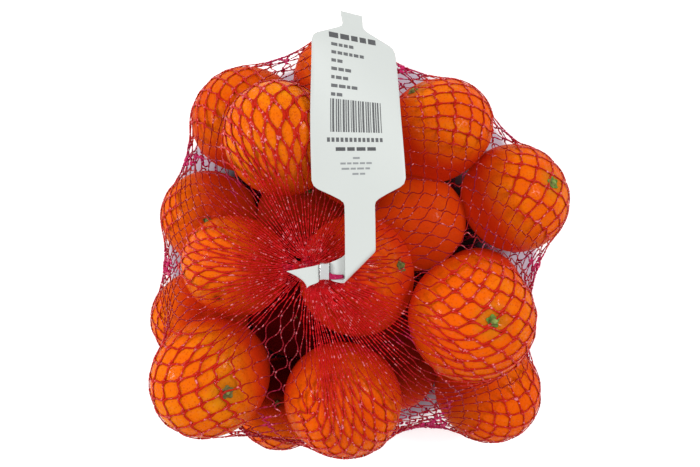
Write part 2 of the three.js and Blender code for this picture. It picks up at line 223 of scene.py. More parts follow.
ON_FRUIT = (1, 6)  # how far off a mandarin a strand stops looking as if it lay on it, and is clear of it
# Painted shade on the strands over the heap reaches this far down to a mandarin:
FRUIT_DOWN = (66, 80)  # how far down a mandarin still makes the strands above it look red
FREE_INWARD = (8, 25)  # how far from any mandarin a strand starts to hang free, inwards and next downwards
FREE_DOWN = (25, 45)
OUTER_RIM = (84, 102)  # how far out a strand that hangs free stands before the bright surroundings
# The painted light and shade from the fruit fade on steep strands:
FACING = (0.2, 0.0, 0.45)  # least share of the fruit's red on a steep strand, and the slopes between
# Painted shade on strands over a deep gap in the heap: how far down the fruit lies, and next the strand's
# slope.
OVER_GAP = (22, 45)  # how far down to the fruit where the strands above start to look dark, and do
GAP_SLOPE = (0.3, 0.6)
# The peel's red below is a painted red shade, from how many strands lie above and how deep it lies.
VEIL_COVER = (0.27, 0.71)  # share of the surface under strands at which the peel starts to look red, and is
REDDER = (2, 15)  # how far under the net the peel starts to look red, and is
REDDER_MOST = 0.85
DEEP = (8, 34)  # how far under the net the shade begins, and is deepest

# Stops along the gathered net at the neck and at the closed end: x, y, z, half width and half height.
NECK_STOPS = [
    (-27, -12, 86, 4.4, 4.4),
    (-27.5, -11.6, 88.4, 3.6, 3.2),
    (-25.6, -12.9, 91.2, 2.7, 2.1),
    (-22, -14.2, 93, 1.8, 1.8),
    (-18.5, -14.2, 93.6, 1.5, 1.8),
    (-16.6, -14.6, 95, 1.4, 1.1),
    (-15.2, -15, 96.2, 1.2, 0.6),
    (-12.6, -15.2, 96.5, 1.0, 0.5),
    (-9.4, -14.9, 96.7, 0.8, 0.4),
]
BASE_STOPS = [
    (6, -20, 19, 5, 5),
    (6, -20, 15, 3.4, 3.4),
    (6, -20, 10, 2.2, 2.2),
    (6, -20, 5.5, 2.2, 2.2),
    (6, -20, 3, 4, 4),
    (6, -20, 1.2, 5, 5),
]
ROPE_STEPS = 30
ROPE_WIDE = 0.546
ROPE_THICK = 0.336
ROPE_PITCH = 4.0
ROPE_INNER = 0.15  # share of a rope's section that its innermost strands leave free
ROPE_WALK = 5  # how long a rope is in waves of its strands' wander
ROPE_WANDER = 0.35
ROPE_BREATHE = 0.08
ROPE_SHORT = 3.2  # how many steps before the rope's end its shortest strands end
ROPE_CREEP = 0.0015
# Painted shade on the strands past the clip, under the strap:
TAIL_DARK = 0.45  # how dark the strands past the clip look

# ---- The clips and the tag ----

CLIP_MIDDLE = (-18.5, -12.6, 93.5)
CLIP_LENGTH = 4.4
CLIP_WIDTH = 8.8
CLIP_HEIGHT = 6.8
CLIP_WALL = 0.9
CLIP_CORNER = 1.8
CORNER_STEPS = 6
CORNER_LEAST = 0.25
CLIP_EASE = 0.22
CLIP_PINCH = (0.12, 0.26)  # how far a band is pinched halfway to its middle, and there
BASE_CLIP_Z = 7.6
BASE_CLIP_SIZE = 6.8
BASE_CLIP_LENGTH = 3.6

TAG_THICKNESS = 0.5
TAG_EASE = 0.13
FOLD_MIDDLE = (-1.55, -11.4)
FOLD_RADIUS = 1.7
CUT_HOLLOW = 2.4
STRAP_Z = 95.6
# Rows of the stub and the creased strap: the lower edge, the upper edge, and the height.
STUB_ROWS = [
    ((-26.8, -20.4), (-36.7, -12.5), 95.2),
    ((-25.9, -19.5), (-32, -11.6), 95.8),
    ((-24.6, -18.9), (-27.5, -10.7), 96),
    ((-22.4, -18.1), (-23.8, -10), 95.9),
    ((-21.3, -17.1), (-21.6, -9.4), 95.5),
    ((-20.9, -14), (-20.9, -9.5), 94.4),
    ((-20.2, -12.2), (-20.2, -9.5), 93.4),
    ((-18.5, -12.2), (-18.5, -9.5), 93),
    ((-16.8, -12.4), (-16.8, -9.5), 93.2),
    ((-16.1, -14.4), (-16.1, -8.8), 94),
    ((-15.4, -16.7), (-15.4, -8.2), 94.9),
    ((-13, -17.6), (-13, -7.2), 95.3),
    ((-10.2, -18.1), (-10.2, -5.8), 95.5),
]
# The outline past the fold: distance along the tag from the fold, and half width there.
TAG_OUTLINE = [
    (-7, 7.15), (12, 7.15), (30, 7.15), (31.6, 7.6), (33, 9.2), (35.2, 13.2), (38.2, 19.4), (39.8, 21.3),
    (42.4, 22.2), (108, 22.2), (110.2, 21.4), (111.6, 19.7), (114.6, 13), (116.8, 8.2), (118, 6.3),
    (119.6, 5.6), (126, 6.1),
]
# The middle line of the tag past the fold, with its fall towards the right edge.
TAG_LINE = [
    (-1.55, -23.4, 99, 0),
    (-1.55, -5, 99, 0),
    (-1.7, 12, 99.2, 0.02),
    (-2.2, 30.5, 99, 0.07),
    (-3.2, 58.5, 97.3, 0.24),
    (-4, 95.5, 91.6, 0.46),
    (-6, 116, 87, 0.56),
]
TAG_LINE_STEPS = 60
STUB_STEPS = 3
FOLD_ROW_STEP = 0.6
TAG_ROW_STEP = 1.5
TAG_COLUMNS = 24

# Generic print on the tag. Each line of marks: its middle along the tag, half height, start across the
# tag, width, the shortest and longest mark, the gap between two, and how faint it is.
HEADING = (111.8, 1.4, -13.5, 25, (3.2, 5.5), 1.1, 0.0)
LIST_WIDTHS = (11.5, 19, 7, 10.5, 9.5, 13, 7)
CODE_LINES = [(61, 1.0, -14.5, 28, (1.3, 1.4), 0.75, 0.1), (56.65, 0.85, -10.5, 20.5, (2.6, 4.6), 0.9, 0.0)]
NOTE_SPANS = ((-2.5, 4.5), (-8.5, 16), (-8, 15.5), (-3, 7))
BARS = 21
BAR_WIDTHS = (0.4, 0.95, 0.55, 0.7)
BAR_GAPS = (0.5, 0.75, 0.45)
INK_ABOVE = 0.03
INK_THICKNESS = 0.04
INK_COLUMNS = 3

# ---- Camera, floor and light ----

CAMERA_AT = (-6.4, 5.5, 345)
PICTURE_WIDTH = 700
CAMERA_FOCAL = 524  # in widths of a picture point
SENSOR = 36
FLOOR_HALF = 3000
# Under the net the floor is dark with painted shadow, round it a paler painted shade, and further out white:
# the middle of each edge, and the distances from it between which the floor changes.
UNDER_NET = ((-14, -18, 0), 88, 112)
OUTSIDE_NET = ((-5, -2, 0), 118.5, 123.5)
LAMP_AIM = (0, 0, 40)
LAMP_SIZE = 400
LAMPS = {"left_light": ((-1200, 150, 800), 9.5), "right_light": ((950, 500, 1100), 8)}
STUDIO_LIGHT = 0.7


# ---- Small helpers ----

def unit(v):
    v = np.asarray(v, float)
    return v / np.maximum(np.linalg.norm(v, axis=-1, keepdims=True), 1e-9)


def smooth_share(value, low, high):
    """A share that rises smoothly from 0 at low to 1 at high."""
    share = np.clip((value - low) / (high - low), 0, 1)
    return share * share * (3 - 2 * share)


def fading(distance, reach, power=2):
    """A share that falls from 1 at no distance towards 0 past this reach."""
    return np.exp(-((distance / reach) ** power))


def hermite(share, start, leave, end, arrive):
    """The place on a smooth curve between two others, with the ways it leaves and arrives."""
    return (
        (2 * share ** 3 - 3 * share ** 2 + 1) * start
        + (share ** 3 - 2 * share ** 2 + share) * leave
        + (3 * share ** 2 - 2 * share ** 3) * end
        + (share ** 3 - share ** 2) * arrive
    )


def ring_faces(first, second, count):
    """Faces of four corners between two rings of points, each given by the number of its first point."""
    nexts = [(k + 1) % count for k in range(count)]
    return [(first + k, second + k, second + n, first + n) for k, n in enumerate(nexts)]


def join_shells(shells):
    """Many shells as the points and faces of one."""
    points, faces = [], []
    count = 0
    for own, own_faces in shells:
        points.append(own)
        faces += [[v + count for v in face] for face in own_faces]
        count += len(own)
    return np.concatenate(points), faces


def add_piece(mesh, material, node):
    """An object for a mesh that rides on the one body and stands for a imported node."""
    mesh.materials.append(material)
    piece = bpy.data.objects.new(mesh.name, mesh)
    bpy.context.scene.collection.objects.link(piece)
    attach(piece, "root")
    if node:
        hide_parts(node)
    return piece


def new_piece(name, points, faces, material, slot, node, smooth=True):
    mesh = bpy.data.meshes.new(name)
    mesh.from_pydata((np.asarray(points) * MM).tolist(), [], [list(map(int, f)) for f in faces])
    mesh.polygons.foreach_set("use_smooth", [smooth] * len(mesh.polygons))
    return add_piece(mesh, material, node)


def new_grid_piece(name, points, quads, material, node):
    """Like new_piece, for many points and faces of four corners held in arrays."""
    mesh = bpy.data.meshes.new(name)
    mesh.vertices.add(len(points))
    mesh.vertices.foreach_set("co", (points * MM).astype(np.float32).ravel())
    mesh.loops.add(quads.size)
    mesh.loops.foreach_set("vertex_index", quads.astype(np.int32).ravel())
    mesh.polygons.add(len(quads))
    mesh.polygons.foreach_set("loop_start", np.arange(0, quads.size, 4, dtype=np.int32))
    mesh.update(calc_edges=True)
    mesh.validate()
    mesh.polygons.foreach_set("use_smooth", [True] * len(mesh.polygons))
    return add_piece(mesh, material, node)


def write_looks(piece, **looks):
    """Keeps each look, a value for every point, where the materials read it by its name."""
    for name, values in looks.items():
        layer = piece.data.attributes.new(name, "FLOAT", "POINT")
        layer.data.foreach_set("value", np.asarray(values, np.float32))


# ---- Node helpers ----

class Nodes:
    """A node tree, with short ways to add to it."""

    def __init__(self, tree):
        self.tree = tree

    def fill(self, socket, value):
        """Gives a socket a value, or another node's output."""
        if isinstance(value, bpy.types.NodeSocket):
            self.tree.links.new(value, socket)
        elif socket.type == "RGBA":
            socket.default_value = (*value, 1)
        else:
            socket.default_value = value

    def add(self, kind, **settings):
        """A new node. Each setting is one of its sockets or of its own choices."""
        made = self.tree.nodes.new(kind)
        for key, value in settings.items():
            if key in made.inputs:
                self.fill(made.inputs[key], value)
            else:
                setattr(made, key, value)
        return made

    def math(self, kind, a, b, clamp=False):
        made = self.add("ShaderNodeMath", operation=kind, use_clamp=clamp)
        self.fill(made.inputs[0], a)
        self.fill(made.inputs[1], b)
        return made.outputs[0]

    def times(self, a, b):
        return self.math("MULTIPLY", a, b)

    def ramp(self, value, low, high):
        made = self.add("ShaderNodeMapRange", interpolation_type="SMOOTHSTEP", Value=value)
        self.fill(made.inputs["From Min"], low)
        self.fill(made.inputs["From Max"], high)
        return made.outputs["Result"]

    def distance(self, place, middle):
        made = self.add("ShaderNodeVectorMath", operation="DISTANCE")
        self.fill(made.inputs[0], place)
        self.fill(made.inputs[1], Vector(middle) * MM)
        return made.outputs["Value"]


class Finish(Nodes):
    """A material with one shader, and short ways to what colours it."""

    def __init__(self, name, mottle=None):
        self.material = bpy.data.materials.new(name)
        self.material.use_nodes = True
        super().__init__(self.material.node_tree)
        self.tree.nodes.clear()
        self.shader = self.add("ShaderNodeBsdfPrincipled")
        self.add("ShaderNodeOutputMaterial", Surface=self.shader.outputs["BSDF"])
        self.place = self.add("ShaderNodeTexCoord").outputs["Object"]
        self.mottle = mottle

    def set(self, **sockets):
        """Sets the shader's sockets, with an underscore for each space in their names."""
        for name, value in sockets.items():
            self.fill(self.shader.inputs[name.replace("_", " ")], value)

    def look(self, name):
        return self.add("ShaderNodeAttribute", attribute_name=name).outputs["Fac"]

    def clouds(self, scale, contrast):
        placed = self.add("ShaderNodeGroup", node_tree=self.mottle, Place=self.place, Scale=scale)
        self.fill(placed.inputs["Contrast"], contrast)
        return placed.outputs["Amount"]

    def blend(self, share, first, second):
        made = self.add("ShaderNodeMix", data_type="RGBA")
        for number, value in ((0, share), (6, first), (7, second)):
            self.fill(made.inputs[number], value)
        return made.outputs[2]

    def layers(self, colour, *coats):
        """A colour with others laid over it, each as its share and its colour."""
        for share, over in coats:
            colour = self.blend(share, colour, over)
        return colour

    def rough(self, mask, more, least):
        """Roughness that rises from the least with a mask."""
        return self.math("ADD", self.times(mask, more), least)

    def bump(self, height, strength, distance):
        made = self.add("ShaderNodeBump", Strength=strength, Distance=distance * MM, Height=height)
        self.set(Normal=made.outputs["Normal"])


def group(name, inputs, outputs):
    """A new shader node group with its sockets, and the nodes at its two ends."""
    tree = bpy.data.node_groups.new(name, "ShaderNodeTree")
    for label, kind, value in inputs:
        socket = tree.interface.new_socket(label, in_out="INPUT", socket_type=kind)
        if value is not None:
            socket.default_value = value
    for label in outputs:
        tree.interface.new_socket(label, in_out="OUTPUT", socket_type="NodeSocketFloat")
    return Nodes(tree), tree.nodes.new("NodeGroupInput").outputs, tree.nodes.new("NodeGroupOutput").inputs


# ---- Shared effects ----

def mottle_group():
    """Cloudy unevenness from 0 to 1."""
    nodes, given, out = group(
        "mottle",
        [("Place", "NodeSocketVector", None), ("Scale", "NodeSocketFloat", 50.0),
         ("Contrast", "NodeSocketFloat", 1.0)],
        ["Amount"],
    )
    noise = nodes.add(
        "ShaderNodeTexNoise", Vector=given["Place"], Scale=given["Scale"], Detail=4.0, Roughness=0.6
    )
    away = nodes.math("SUBTRACT", noise.outputs["Fac"], 0.5)
    strong = nodes.times(away, given["Contrast"])
    nodes.fill(out["Amount"], nodes.math("ADD", strong, 0.5, clamp=True))
    return nodes.tree


def pits_group():
    """Small round pits, such as a citrus peel's pores, as a mask and as a height."""
    nodes, given, out = group(
        "pits", [("Place", "NodeSocketVector", None), ("Scale", "NodeSocketFloat", 800.0)], ["Mask", "Height"]
    )
    cells = nodes.add(
        "ShaderNodeTexVoronoi", feature="F1", Vector=given["Place"], Scale=given["Scale"], Randomness=0.9
    )
    pit = nodes.ramp(cells.outputs["Distance"], 0.45, 0.1)
    swell = nodes.ramp(cells.outputs["Distance"], 0.75, 0.2)
    nodes.fill(out["Mask"], pit)
    nodes.fill(out["Height"], nodes.math("SUBTRACT", nodes.times(swell, 0.4), pit))
    return nodes.tree


# ---- Materials ----

def peel_material(mottle, pits):
    """Waxy orange peel: each fruit has its own tone, yellower where it is paler, with fine pores, under
    painted shade, painted red shade and a painted glow.
    """
    peel = Finish("citrus_peel", mottle)
    tone, deep = peel.look("tone"), peel.look("deep")
    fine = peel.clouds(230.0, 1.4)
    pores = peel.add("ShaderNodeGroup", node_tree=pits, Place=peel.place, Scale=760.0).outputs
    warm = peel.blend(tone, (0.79, 0.075, 0.001), (0.82, 0.155, 0.003))
    lighter = peel.blend(tone, (0.82, 0.14, 0.002), (0.83, 0.27, 0.004))
    collar = peel.ramp(peel.look("stem_end"), 0.93, 1.0)
    colour = peel.layers(
        warm,
        (peel.ramp(peel.clouds(38.0, 1.8), 0.35, 0.95), lighter),
        (peel.times(fine, 0.25), (0.66, 0.06, 0.002)),
        (peel.times(pores["Mask"], 0.55), (0.62, 0.07, 0.002)),
        (peel.times(collar, 0.45), (0.42, 0.2, 0.008)),
        # Painted shade on the steep sides.
        (peel.times(peel.look("side"), 0.55), (0.56, 0.055, 0.001)),
        # Painted red shade, as if the light came through red strands.
        (peel.look("veil"), (0.66, 0.028, 0.006)),
        # Painted heap shade, darkest deep between the fruit.
        (deep, (0.1, 0.002, 0.002)),
        (peel.look("scar"), (0.03, 0.016, 0.006)),
    )
    # A painted glow in the shade, a red light where no lamp shines.
    light_through = peel.blend(peel.look("lit"), (0.0, 0.0, 0.0), (0.15, 0.01, 0.001))
    rough = peel.math("ADD", peel.rough(fine, 0.18, 0.16), deep, clamp=True)
    open_peel = peel.math("SUBTRACT", 1.0, peel.times(deep, 3.0), clamp=True)
    gloss = peel.times(peel.ramp(peel.clouds(620.0, 2.6), 0.45, 1.5), open_peel)
    peel.set(Base_Color=colour, Emission_Color=light_through, Emission_Strength=1, Roughness=rough)
    peel.set(IOR=1.15, Specular_IOR_Level=0.04, Coat_Weight=gloss, Coat_Roughness=0.14)
    peel.bump(pores["Height"], 0.55, 0.35)
    return peel.material


def calyx_material(mottle):
    dry = Finish("dry_calyx", mottle)
    cloud = dry.clouds(420.0, 2.2)
    leaf = dry.blend(cloud, (0.06, 0.15, 0.015), (0.2, 0.34, 0.06))
    cut = dry.blend(cloud, (0.16, 0.28, 0.04), (0.45, 0.52, 0.18))
    brown = dry.blend(cloud, (0.045, 0.035, 0.012), (0.27, 0.22, 0.08))
    colour = dry.layers(leaf, (dry.look("core"), cut), (dry.look("brown"), brown))
    dry.set(Base_Color=colour, Roughness=0.75, Specular_IOR_Level=0.12)
    dry.bump(cloud, 0.7, 0.3)
    return dry.material


def net_material(mottle):
    """Glossy red plastic strands, each a little lighter or darker along its length, in painted lit and shaded
    copies of one red, with painted glints.
    """
    net = Finish("net_plastic", mottle)
    cloud = net.clouds(160.0, 1.8)
    # Painted lit and shaded copies of one red: crimson with painted back light from the bright surroundings,
    # darker red with painted shade over the heap, and scarlet with painted light off the peel.
    crimson = net.blend(cloud, (0.44, 0.009, 0.085), (0.68, 0.035, 0.17))
    shaded = net.blend(cloud, (0.26, 0.005, 0.004), (0.44, 0.013, 0.01))
    scarlet = net.blend(cloud, (0.4, 0.01, 0.003), (0.62, 0.024, 0.01))
    crowded = net.blend(cloud, (0.44, 0.004, 0.006), (0.64, 0.012, 0.02))
    # Painted shade on strands over a dark gap.
    dim = net.blend(cloud, (0.13, 0.004, 0.01), (0.26, 0.012, 0.03))
    # Painted glints: pale pink specks laid into the colour, not lamp highlights.
    glints = net.ramp(net.clouds(560.0, 3.0), 0.7, 1.08)
    colour = net.layers(
        crimson,
        (net.look("over_fruit"), shaded),
        (net.look("on_fruit"), scarlet),
        (net.times(net.look("crowd"), 0.85), crowded),
        (net.times(net.look("over_gap"), 0.8), dim),
        (net.times(glints, 0.85), (0.9, 0.3, 0.36)),
    )
    gloss = net.ramp(net.clouds(500.0, 2.6), 0.5, 1.3)
    net.set(Base_Color=colour, Roughness=net.rough(net.clouds(900.0, 1.6), 0.25, 0.16))
    net.set(IOR=1.2, Specular_IOR_Level=0.1, Coat_Weight=gloss, Coat_Roughness=0.12)
    return net.material


def tag_material(mottle):
    tag = Finish("tag_plastic", mottle)
    fine = tag.clouds(700.0, 1.2)
    pale = tag.blend(tag.clouds(22.0, 1.2), (0.595, 0.63, 0.605), (0.63, 0.66, 0.64))
    tag.set(Base_Color=pale, Roughness=tag.rough(fine, 0.12, 0.34))
    tag.bump(fine, 0.1, 0.2)
    return tag.material


def print_material(mottle):
    ink = Finish("flat_ink", mottle)
    dark = ink.blend(ink.look("faint"), (0.035, 0.035, 0.04), (0.33, 0.35, 0.36))
    worn = ink.blend(ink.times(ink.clouds(1500.0, 1.6), 0.2), dark, (0.4, 0.42, 0.42))
    ink.set(Base_Color=worn, Roughness=0.55)
    return ink.material


def clip_material(mottle):
    """Bright bent aluminium, with fine drawing marks."""
    clip = Finish("clip_aluminium", mottle)
    stretched = clip.add("ShaderNodeMapping", Vector=clip.place, Scale=(14.0, 1.0, 1.0))
    clip.place = stretched.outputs["Vector"]
    marks = clip.clouds(600.0, 1.8)
    grey = clip.blend(marks, (0.82, 0.82, 0.83), (0.9, 0.9, 0.9))
    clip.set(Base_Color=grey, Metallic=1, Roughness=clip.rough(marks, 0.12, 0.2))
    clip.bump(marks, 0.1, 0.1)
    return clip.material


def floor_material():
    floor = Finish("pale_floor")
    (dark_middle, *dark_edge), (white_middle, *white_edge) = UNDER_NET, OUTSIDE_NET
    under = floor.ramp(floor.distance(floor.place, dark_middle), *[edge * MM for edge in dark_edge])
    away = floor.ramp(floor.distance(floor.place, white_middle), *[edge * MM for edge in white_edge])
    # Painted shadow under the net, with a paler painted shade round it.
    shade = floor.blend(under, (0.03, 0.008, 0.008), (0.6, 0.57, 0.68))
    tone = floor.blend(away, shade, (0.9, 0.9, 0.91))
    glow = floor.blend(away, (0.0, 0.0, 0.0), (0.4, 0.4, 0.4))
    floor.set(Base_Color=tone, Emission_Color=glow, Emission_Strength=1, Roughness=0.6)
    floor.set(Specular_IOR_Level=0.2)
    return floor.material


# ---- The heap ----

class Mandarin:
    """One fruit: an ellipsoid with its own lobes, a dimple at each pole and folds round the stem end."""

    def __init__(self, number, name, at, width, height, pole):
        self.name = name
        self.radius = width / 2
        self.half = height / 2
        self.pole = unit(pole)
        self.middle = np.array([*at, DROP_FROM], float)
        self.side = unit(np.cross(self.pole, (0.31, 0.95, 0.05)))
        self.other = np.cross(self.pole, self.side)
        draw = np.random.default_rng(100 + number)
        self.waves = draw.normal(size=(LOBES, 3)) * LOBE_WAVES
        self.phases = draw.uniform(0, TURN, LOBES)
        self.folds = int(draw.integers(*FOLDS))
        self.fold_phase = draw.uniform(0, TURN)
        self.fold_depth = draw.uniform(*FOLD_DEPTH)
        self.dimple = draw.uniform(*DIMPLE)
        self.flats = []

    def sizes(self):
        return np.array([self.radius, self.radius, self.half])

    def reach(self, direction):
        along = self.pole @ direction
        return math.sqrt(self.radius ** 2 * (1 - along ** 2) + self.half ** 2 * along ** 2)

    def local(self, points):
        """Points as offsets along the fruit's own three axes, with its pole third."""
        away = points - self.middle
        return np.stack([away @ self.side, away @ self.other, away @ self.pole], -1)

    def world(self, offsets):
        side, other, up = (offsets[..., i:i + 1] for i in range(3))
        return self.middle + side * self.side + other * self.other + up * self.pole

    def swell(self, d):
        """How far the skin is from the middle, as a share of the ellipsoid's, in unit directions d."""
        lobes = np.sin(d @ self.waves.T + self.phases).mean(-1)
        across = np.hypot(d[..., 0], d[..., 1]) * self.radius
        angle = np.arctan2(d[..., 1], d[..., 0])
        crease = 0.5 + 0.5 * np.cos(self.folds * angle + self.fold_phase + 0.9 * np.sin(2 * angle))
        folds = self.fold_depth * crease * fading(across - FOLD_AT, FOLD_REACH)
        stem_end = self.dimple * fading(across, DIMPLE_REACH) + folds
        dip = np.where(d[..., 2] > 0, stem_end, BLOSSOM_DIMPLE * fading(across, BLOSSOM_REACH))
        return 1 + UNEVEN * lobes - dip / self.half

    def skin(self, d):
        """Points of the skin in the fruit's own axes."""
        return d * self.sizes() * self.swell(d)[..., None]

    def press(self, points):
        """Flattens what passes the planes where neighbours and the floor press."""
        for normal, limit in self.flats:
            past = (points - self.middle) @ normal - limit
            soft = FLAT_EDGE * np.logaddexp(0, past / FLAT_EDGE)
            points = points - soft[..., None] * normal
        return points


def gap_between(a, b):
    apart = b.middle - a.middle
    distance = np.linalg.norm(apart)
    apart = apart / distance
    return distance - a.reach(apart) - b.reach(apart)


def lay_heap():
    """Lets the mandarins down one after another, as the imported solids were."""
    heap = []
    for number, (name, at, width, height, pole) in enumerate(MANDARINS):
        fruit = Mandarin(number, name, at, width, height, pole)
        down = fruit.reach(UP) + NET_THICKNESS - FLOOR_PRESS
        while fruit.middle[2] > down and all(gap_between(other, fruit) >= -PRESS for other in heap):
            fruit.middle[2] -= DROP_STEP
        fruit.middle[2] = max(fruit.middle[2], down)
        heap.append(fruit)
    return heap


def settle(heap):
    """Fills some mandarins out and flattens each a little where the floor and the others press."""
    for fruit in heap:
        x, y, width, height = FULLER.get(fruit.name, (0, 0, 2 * fruit.radius, 2 * fruit.half))
        fruit.middle = fruit.middle + (x, y, 0)
        fruit.radius, fruit.half = width / 2, height / 2
        fruit.flats = [(-UP, fruit.middle[2] - NET_THICKNESS)]
    for i, a in enumerate(heap):
        for b in heap[i + 1:]:
            gap = gap_between(a, b)
            if gap < MEET_GAP:
                apart = unit(b.middle - a.middle)
                a.flats.append((apart, a.reach(apart) + gap / 2 - FLAT_ROOM))
                b.flats.append((-apart, b.reach(-apart) + gap / 2 - FLAT_ROOM))


def sphere_grid(rows, columns):
    """Unit directions from one pole to the other, with one point at each pole, and its faces."""
    rise = np.linspace(0, math.pi, rows + 1)[1:-1]
    turn = np.arange(columns) * 2 * math.pi / columns
    ring = np.stack([np.cos(turn), np.sin(turn)], -1)
    body = [np.concatenate([ring * math.sin(a), np.full((columns, 1), math.cos(a))], 1) for a in rise]
    points = np.concatenate([[[0, 0, 1]], *body, [[0, 0, -1]]])
    last = len(points) - 1
    faces = []
    for first in range(1, last - columns, columns):
        faces += ring_faces(first, first + columns, columns)
    for k in range(columns):
        n = (k + 1) % columns
        faces += [(0, 1 + k, 1 + n), (last - columns + k, last, last - columns + n)]
    return points, faces


def scar_on(fruit, directions):
    """How far each place belongs to the scar at the blossom end, or to the one at the stem end."""
    across = np.hypot(directions[:, 0], directions[:, 1]) * fruit.radius
    low = directions[:, 2] < 0
    scar = np.where(low, fading(across, SCAR_REACH), 0) * SCARS.get(fruit.name, FAINT_SCAR)
    if fruit.name in STEM_SCARS:
        scar = np.where(low, scar, fading(across, STEM_SCARS[fruit.name], 4))
    return scar


def add_mandarins(heap, peel, bag, lines):
    directions, faces = sphere_grid(PEEL_ROWS, PEEL_COLUMNS)
    cover = net_cover(bag, lines)
    for fruit in heap:
        points = fruit.press(fruit.world(fruit.skin(directions)))
        outward = unit(points - fruit.middle)
        veil, deep = shade_under_net(points, bag, cover)
        share = SHADES.get(fruit.name, OPEN_SHADE)
        write_looks(
            new_piece(f"mandarin_{fruit.name}", points, faces, peel, "peel", "filled_net"),
            tone=np.full(len(points), TONES.get(fruit.name, 0.5)),
            stem_end=directions[:, 2],
            # painted shade on the steep sides
            side=1 - smooth_share(outward[:, 2], *SIDE_SLOPE),
            scar=scar_on(fruit, directions),
            # painted red shade under the net
            veil=veil * REDDENED.get(fruit.name, 1),
            # painted heap shade, with some darker all over through it
            deep=np.minimum(deep * share + DULLED.get(fruit.name, 0), 1),
            # a painted glow in the heap's shade
            lit=deep * max(1 - share, 0),
        )


def calyx_points(fruit, spread, stub, draw):
    """A five-pointed star on the stem end with the cut stem in its middle, as points of a closed shell."""
    turn = np.arange(CALYX_SECTORS) * 2 * math.pi / CALYX_SECTORS
    share = np.linspace(0, 1, CALYX_RINGS + 1)[1:] ** 0.8
    ragged = 1 + CALYX_RAGGED * draw.normal(size=CALYX_POINTS)
    point = 0.5 + 0.5 * np.cos(CALYX_POINTS * turn)
    lobe = ragged[np.round(turn / (TURN / CALYX_POINTS)).astype(int) % CALYX_POINTS]
    edge = spread * (0.76 + 0.28 * point ** 1.2 * lobe)
    across = share[:, None] * edge[None, :]
    thick, curl = CALYX_LEAF
    height = thick + stub / (1 + np.exp((across - STUB_RADIUS) / STUB_EDGE))
    height = height + curl * (across / spread) ** 2 * point
    height = height + CALYX_ROUGH * draw.normal(size=height.shape)
    slope = np.stack([across * np.cos(turn), across * np.sin(turn)], -1) / fruit.radius
    rise = np.sqrt(np.maximum(1 - (slope ** 2).sum(-1), 0.01))
    seat = fruit.skin(np.concatenate([slope, rise[..., None]], -1)).reshape(-1, 3)
    crown = fruit.skin(UP[None])
    upper, under = seat + height.reshape(-1, 1) * UP, seat - CALYX_SINK * UP
    ends = [crown + (stub + STUB_CROWN) * UP, crown - CALYX_SINK * UP]
    return fruit.world(np.concatenate([upper, under, *ends]))


def calyx_faces():
    count = CALYX_SECTORS
    under = CALYX_RINGS * count
    faces = ring_faces(under - count, 2 * under - count, count)
    for first in range(0, under - count, count):
        faces += ring_faces(first, first + count, count)
        faces += ring_faces(under + first + count, under + first, count)
    for k in range(count):
        n = (k + 1) % count
        faces += [(2 * under, k, n), (2 * under + 1, under + n, under + k)]
    return faces


def add_calyxes(heap, dry):
    shells, brown, core = [], [], []
    for number, fruit in enumerate(heap):
        spread, stub, share = CALYXES.get(fruit.name, CALYX)
        draw = np.random.default_rng(500 + number)
        points = calyx_points(fruit, spread, stub, draw)
        shells.append((points, calyx_faces()))
        local = fruit.local(points)
        across = np.hypot(local[:, 0], local[:, 1])
        # Partly own brown, partly painted shadow round the stub, heavier on one side.
        ring = fading(across - BROWN_RING[0], BROWN_RING[1])
        side = 0.5 + 0.5 * np.cos(np.arctan2(local[:, 1], local[:, 0]) - draw.uniform(0, 6.3))
        middle = fading(across, STUB_RADIUS, 4)
        brown.append(np.clip(share * (1 - 0.6 * middle) + ring * (0.4 + 0.6 * side), 0, 1))
        core.append(middle)
    piece = new_piece("calyxes", *join_shells(shells), dry, "stem", "filled_net")
    write_looks(piece, brown=np.concatenate(brown), core=np.concatenate(core))


# ---- The bag's surface ----

class BagSurface:
    """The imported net's outside, as each place's distance from it and the way out, on a regular grid."""

    def __init__(self, packed):
        mesh = packed.data
        points = [v.co / MM for v in mesh.vertices]
        film = [tuple(p.vertices) for p in mesh.polygons if not is_rope(p.center / MM)]
        self.tree = BVHTree.FromPolygons(points, film)
        places = np.array(points)
        self.low = places.min(0) - GRID_MARGIN
        self.counts = np.ceil((places.max(0) + GRID_MARGIN - self.low) / GRID_STEP).astype(int) + 1
        steps = np.stack(np.meshgrid(*[np.arange(n) for n in self.counts], indexing="ij"), -1)
        self.grid = np.zeros((*self.counts, 4))
        flat = self.grid.reshape(-1, 4)
        for i, place in enumerate((self.low + steps.reshape(-1, 3) * GRID_STEP).tolist()):
            near, normal, _, distance = self.tree.find_nearest(place)
            out = Vector(place) - near
            sign = 1 if out.dot(normal) >= 0 else -1
            flat[i, 0] = sign * distance
            flat[i, 1:] = sign * out.normalized() if distance > 0.2 else normal

    def first_place(self, aims):
        """Where rays from the bag's middle leave it, or the nearest place to a ray that misses."""
        start = Vector(BAG_MIDDLE)
        out = []
        for aim in aims:
            place = self.tree.ray_cast(start, Vector(aim))[0]
            out.append(list(place or self.tree.find_nearest(start + 40 * Vector(aim))[0]))
        return np.array(out)

    def at(self, points):
        """The surface's nearest place to each point, and the way out there."""
        for _ in range(2):
            mixed = cells_at(self.grid, self.low, GRID_STEP, points)
            normal = unit(mixed[..., 1:])
            points = points - mixed[..., :1] * normal
        return points, normal


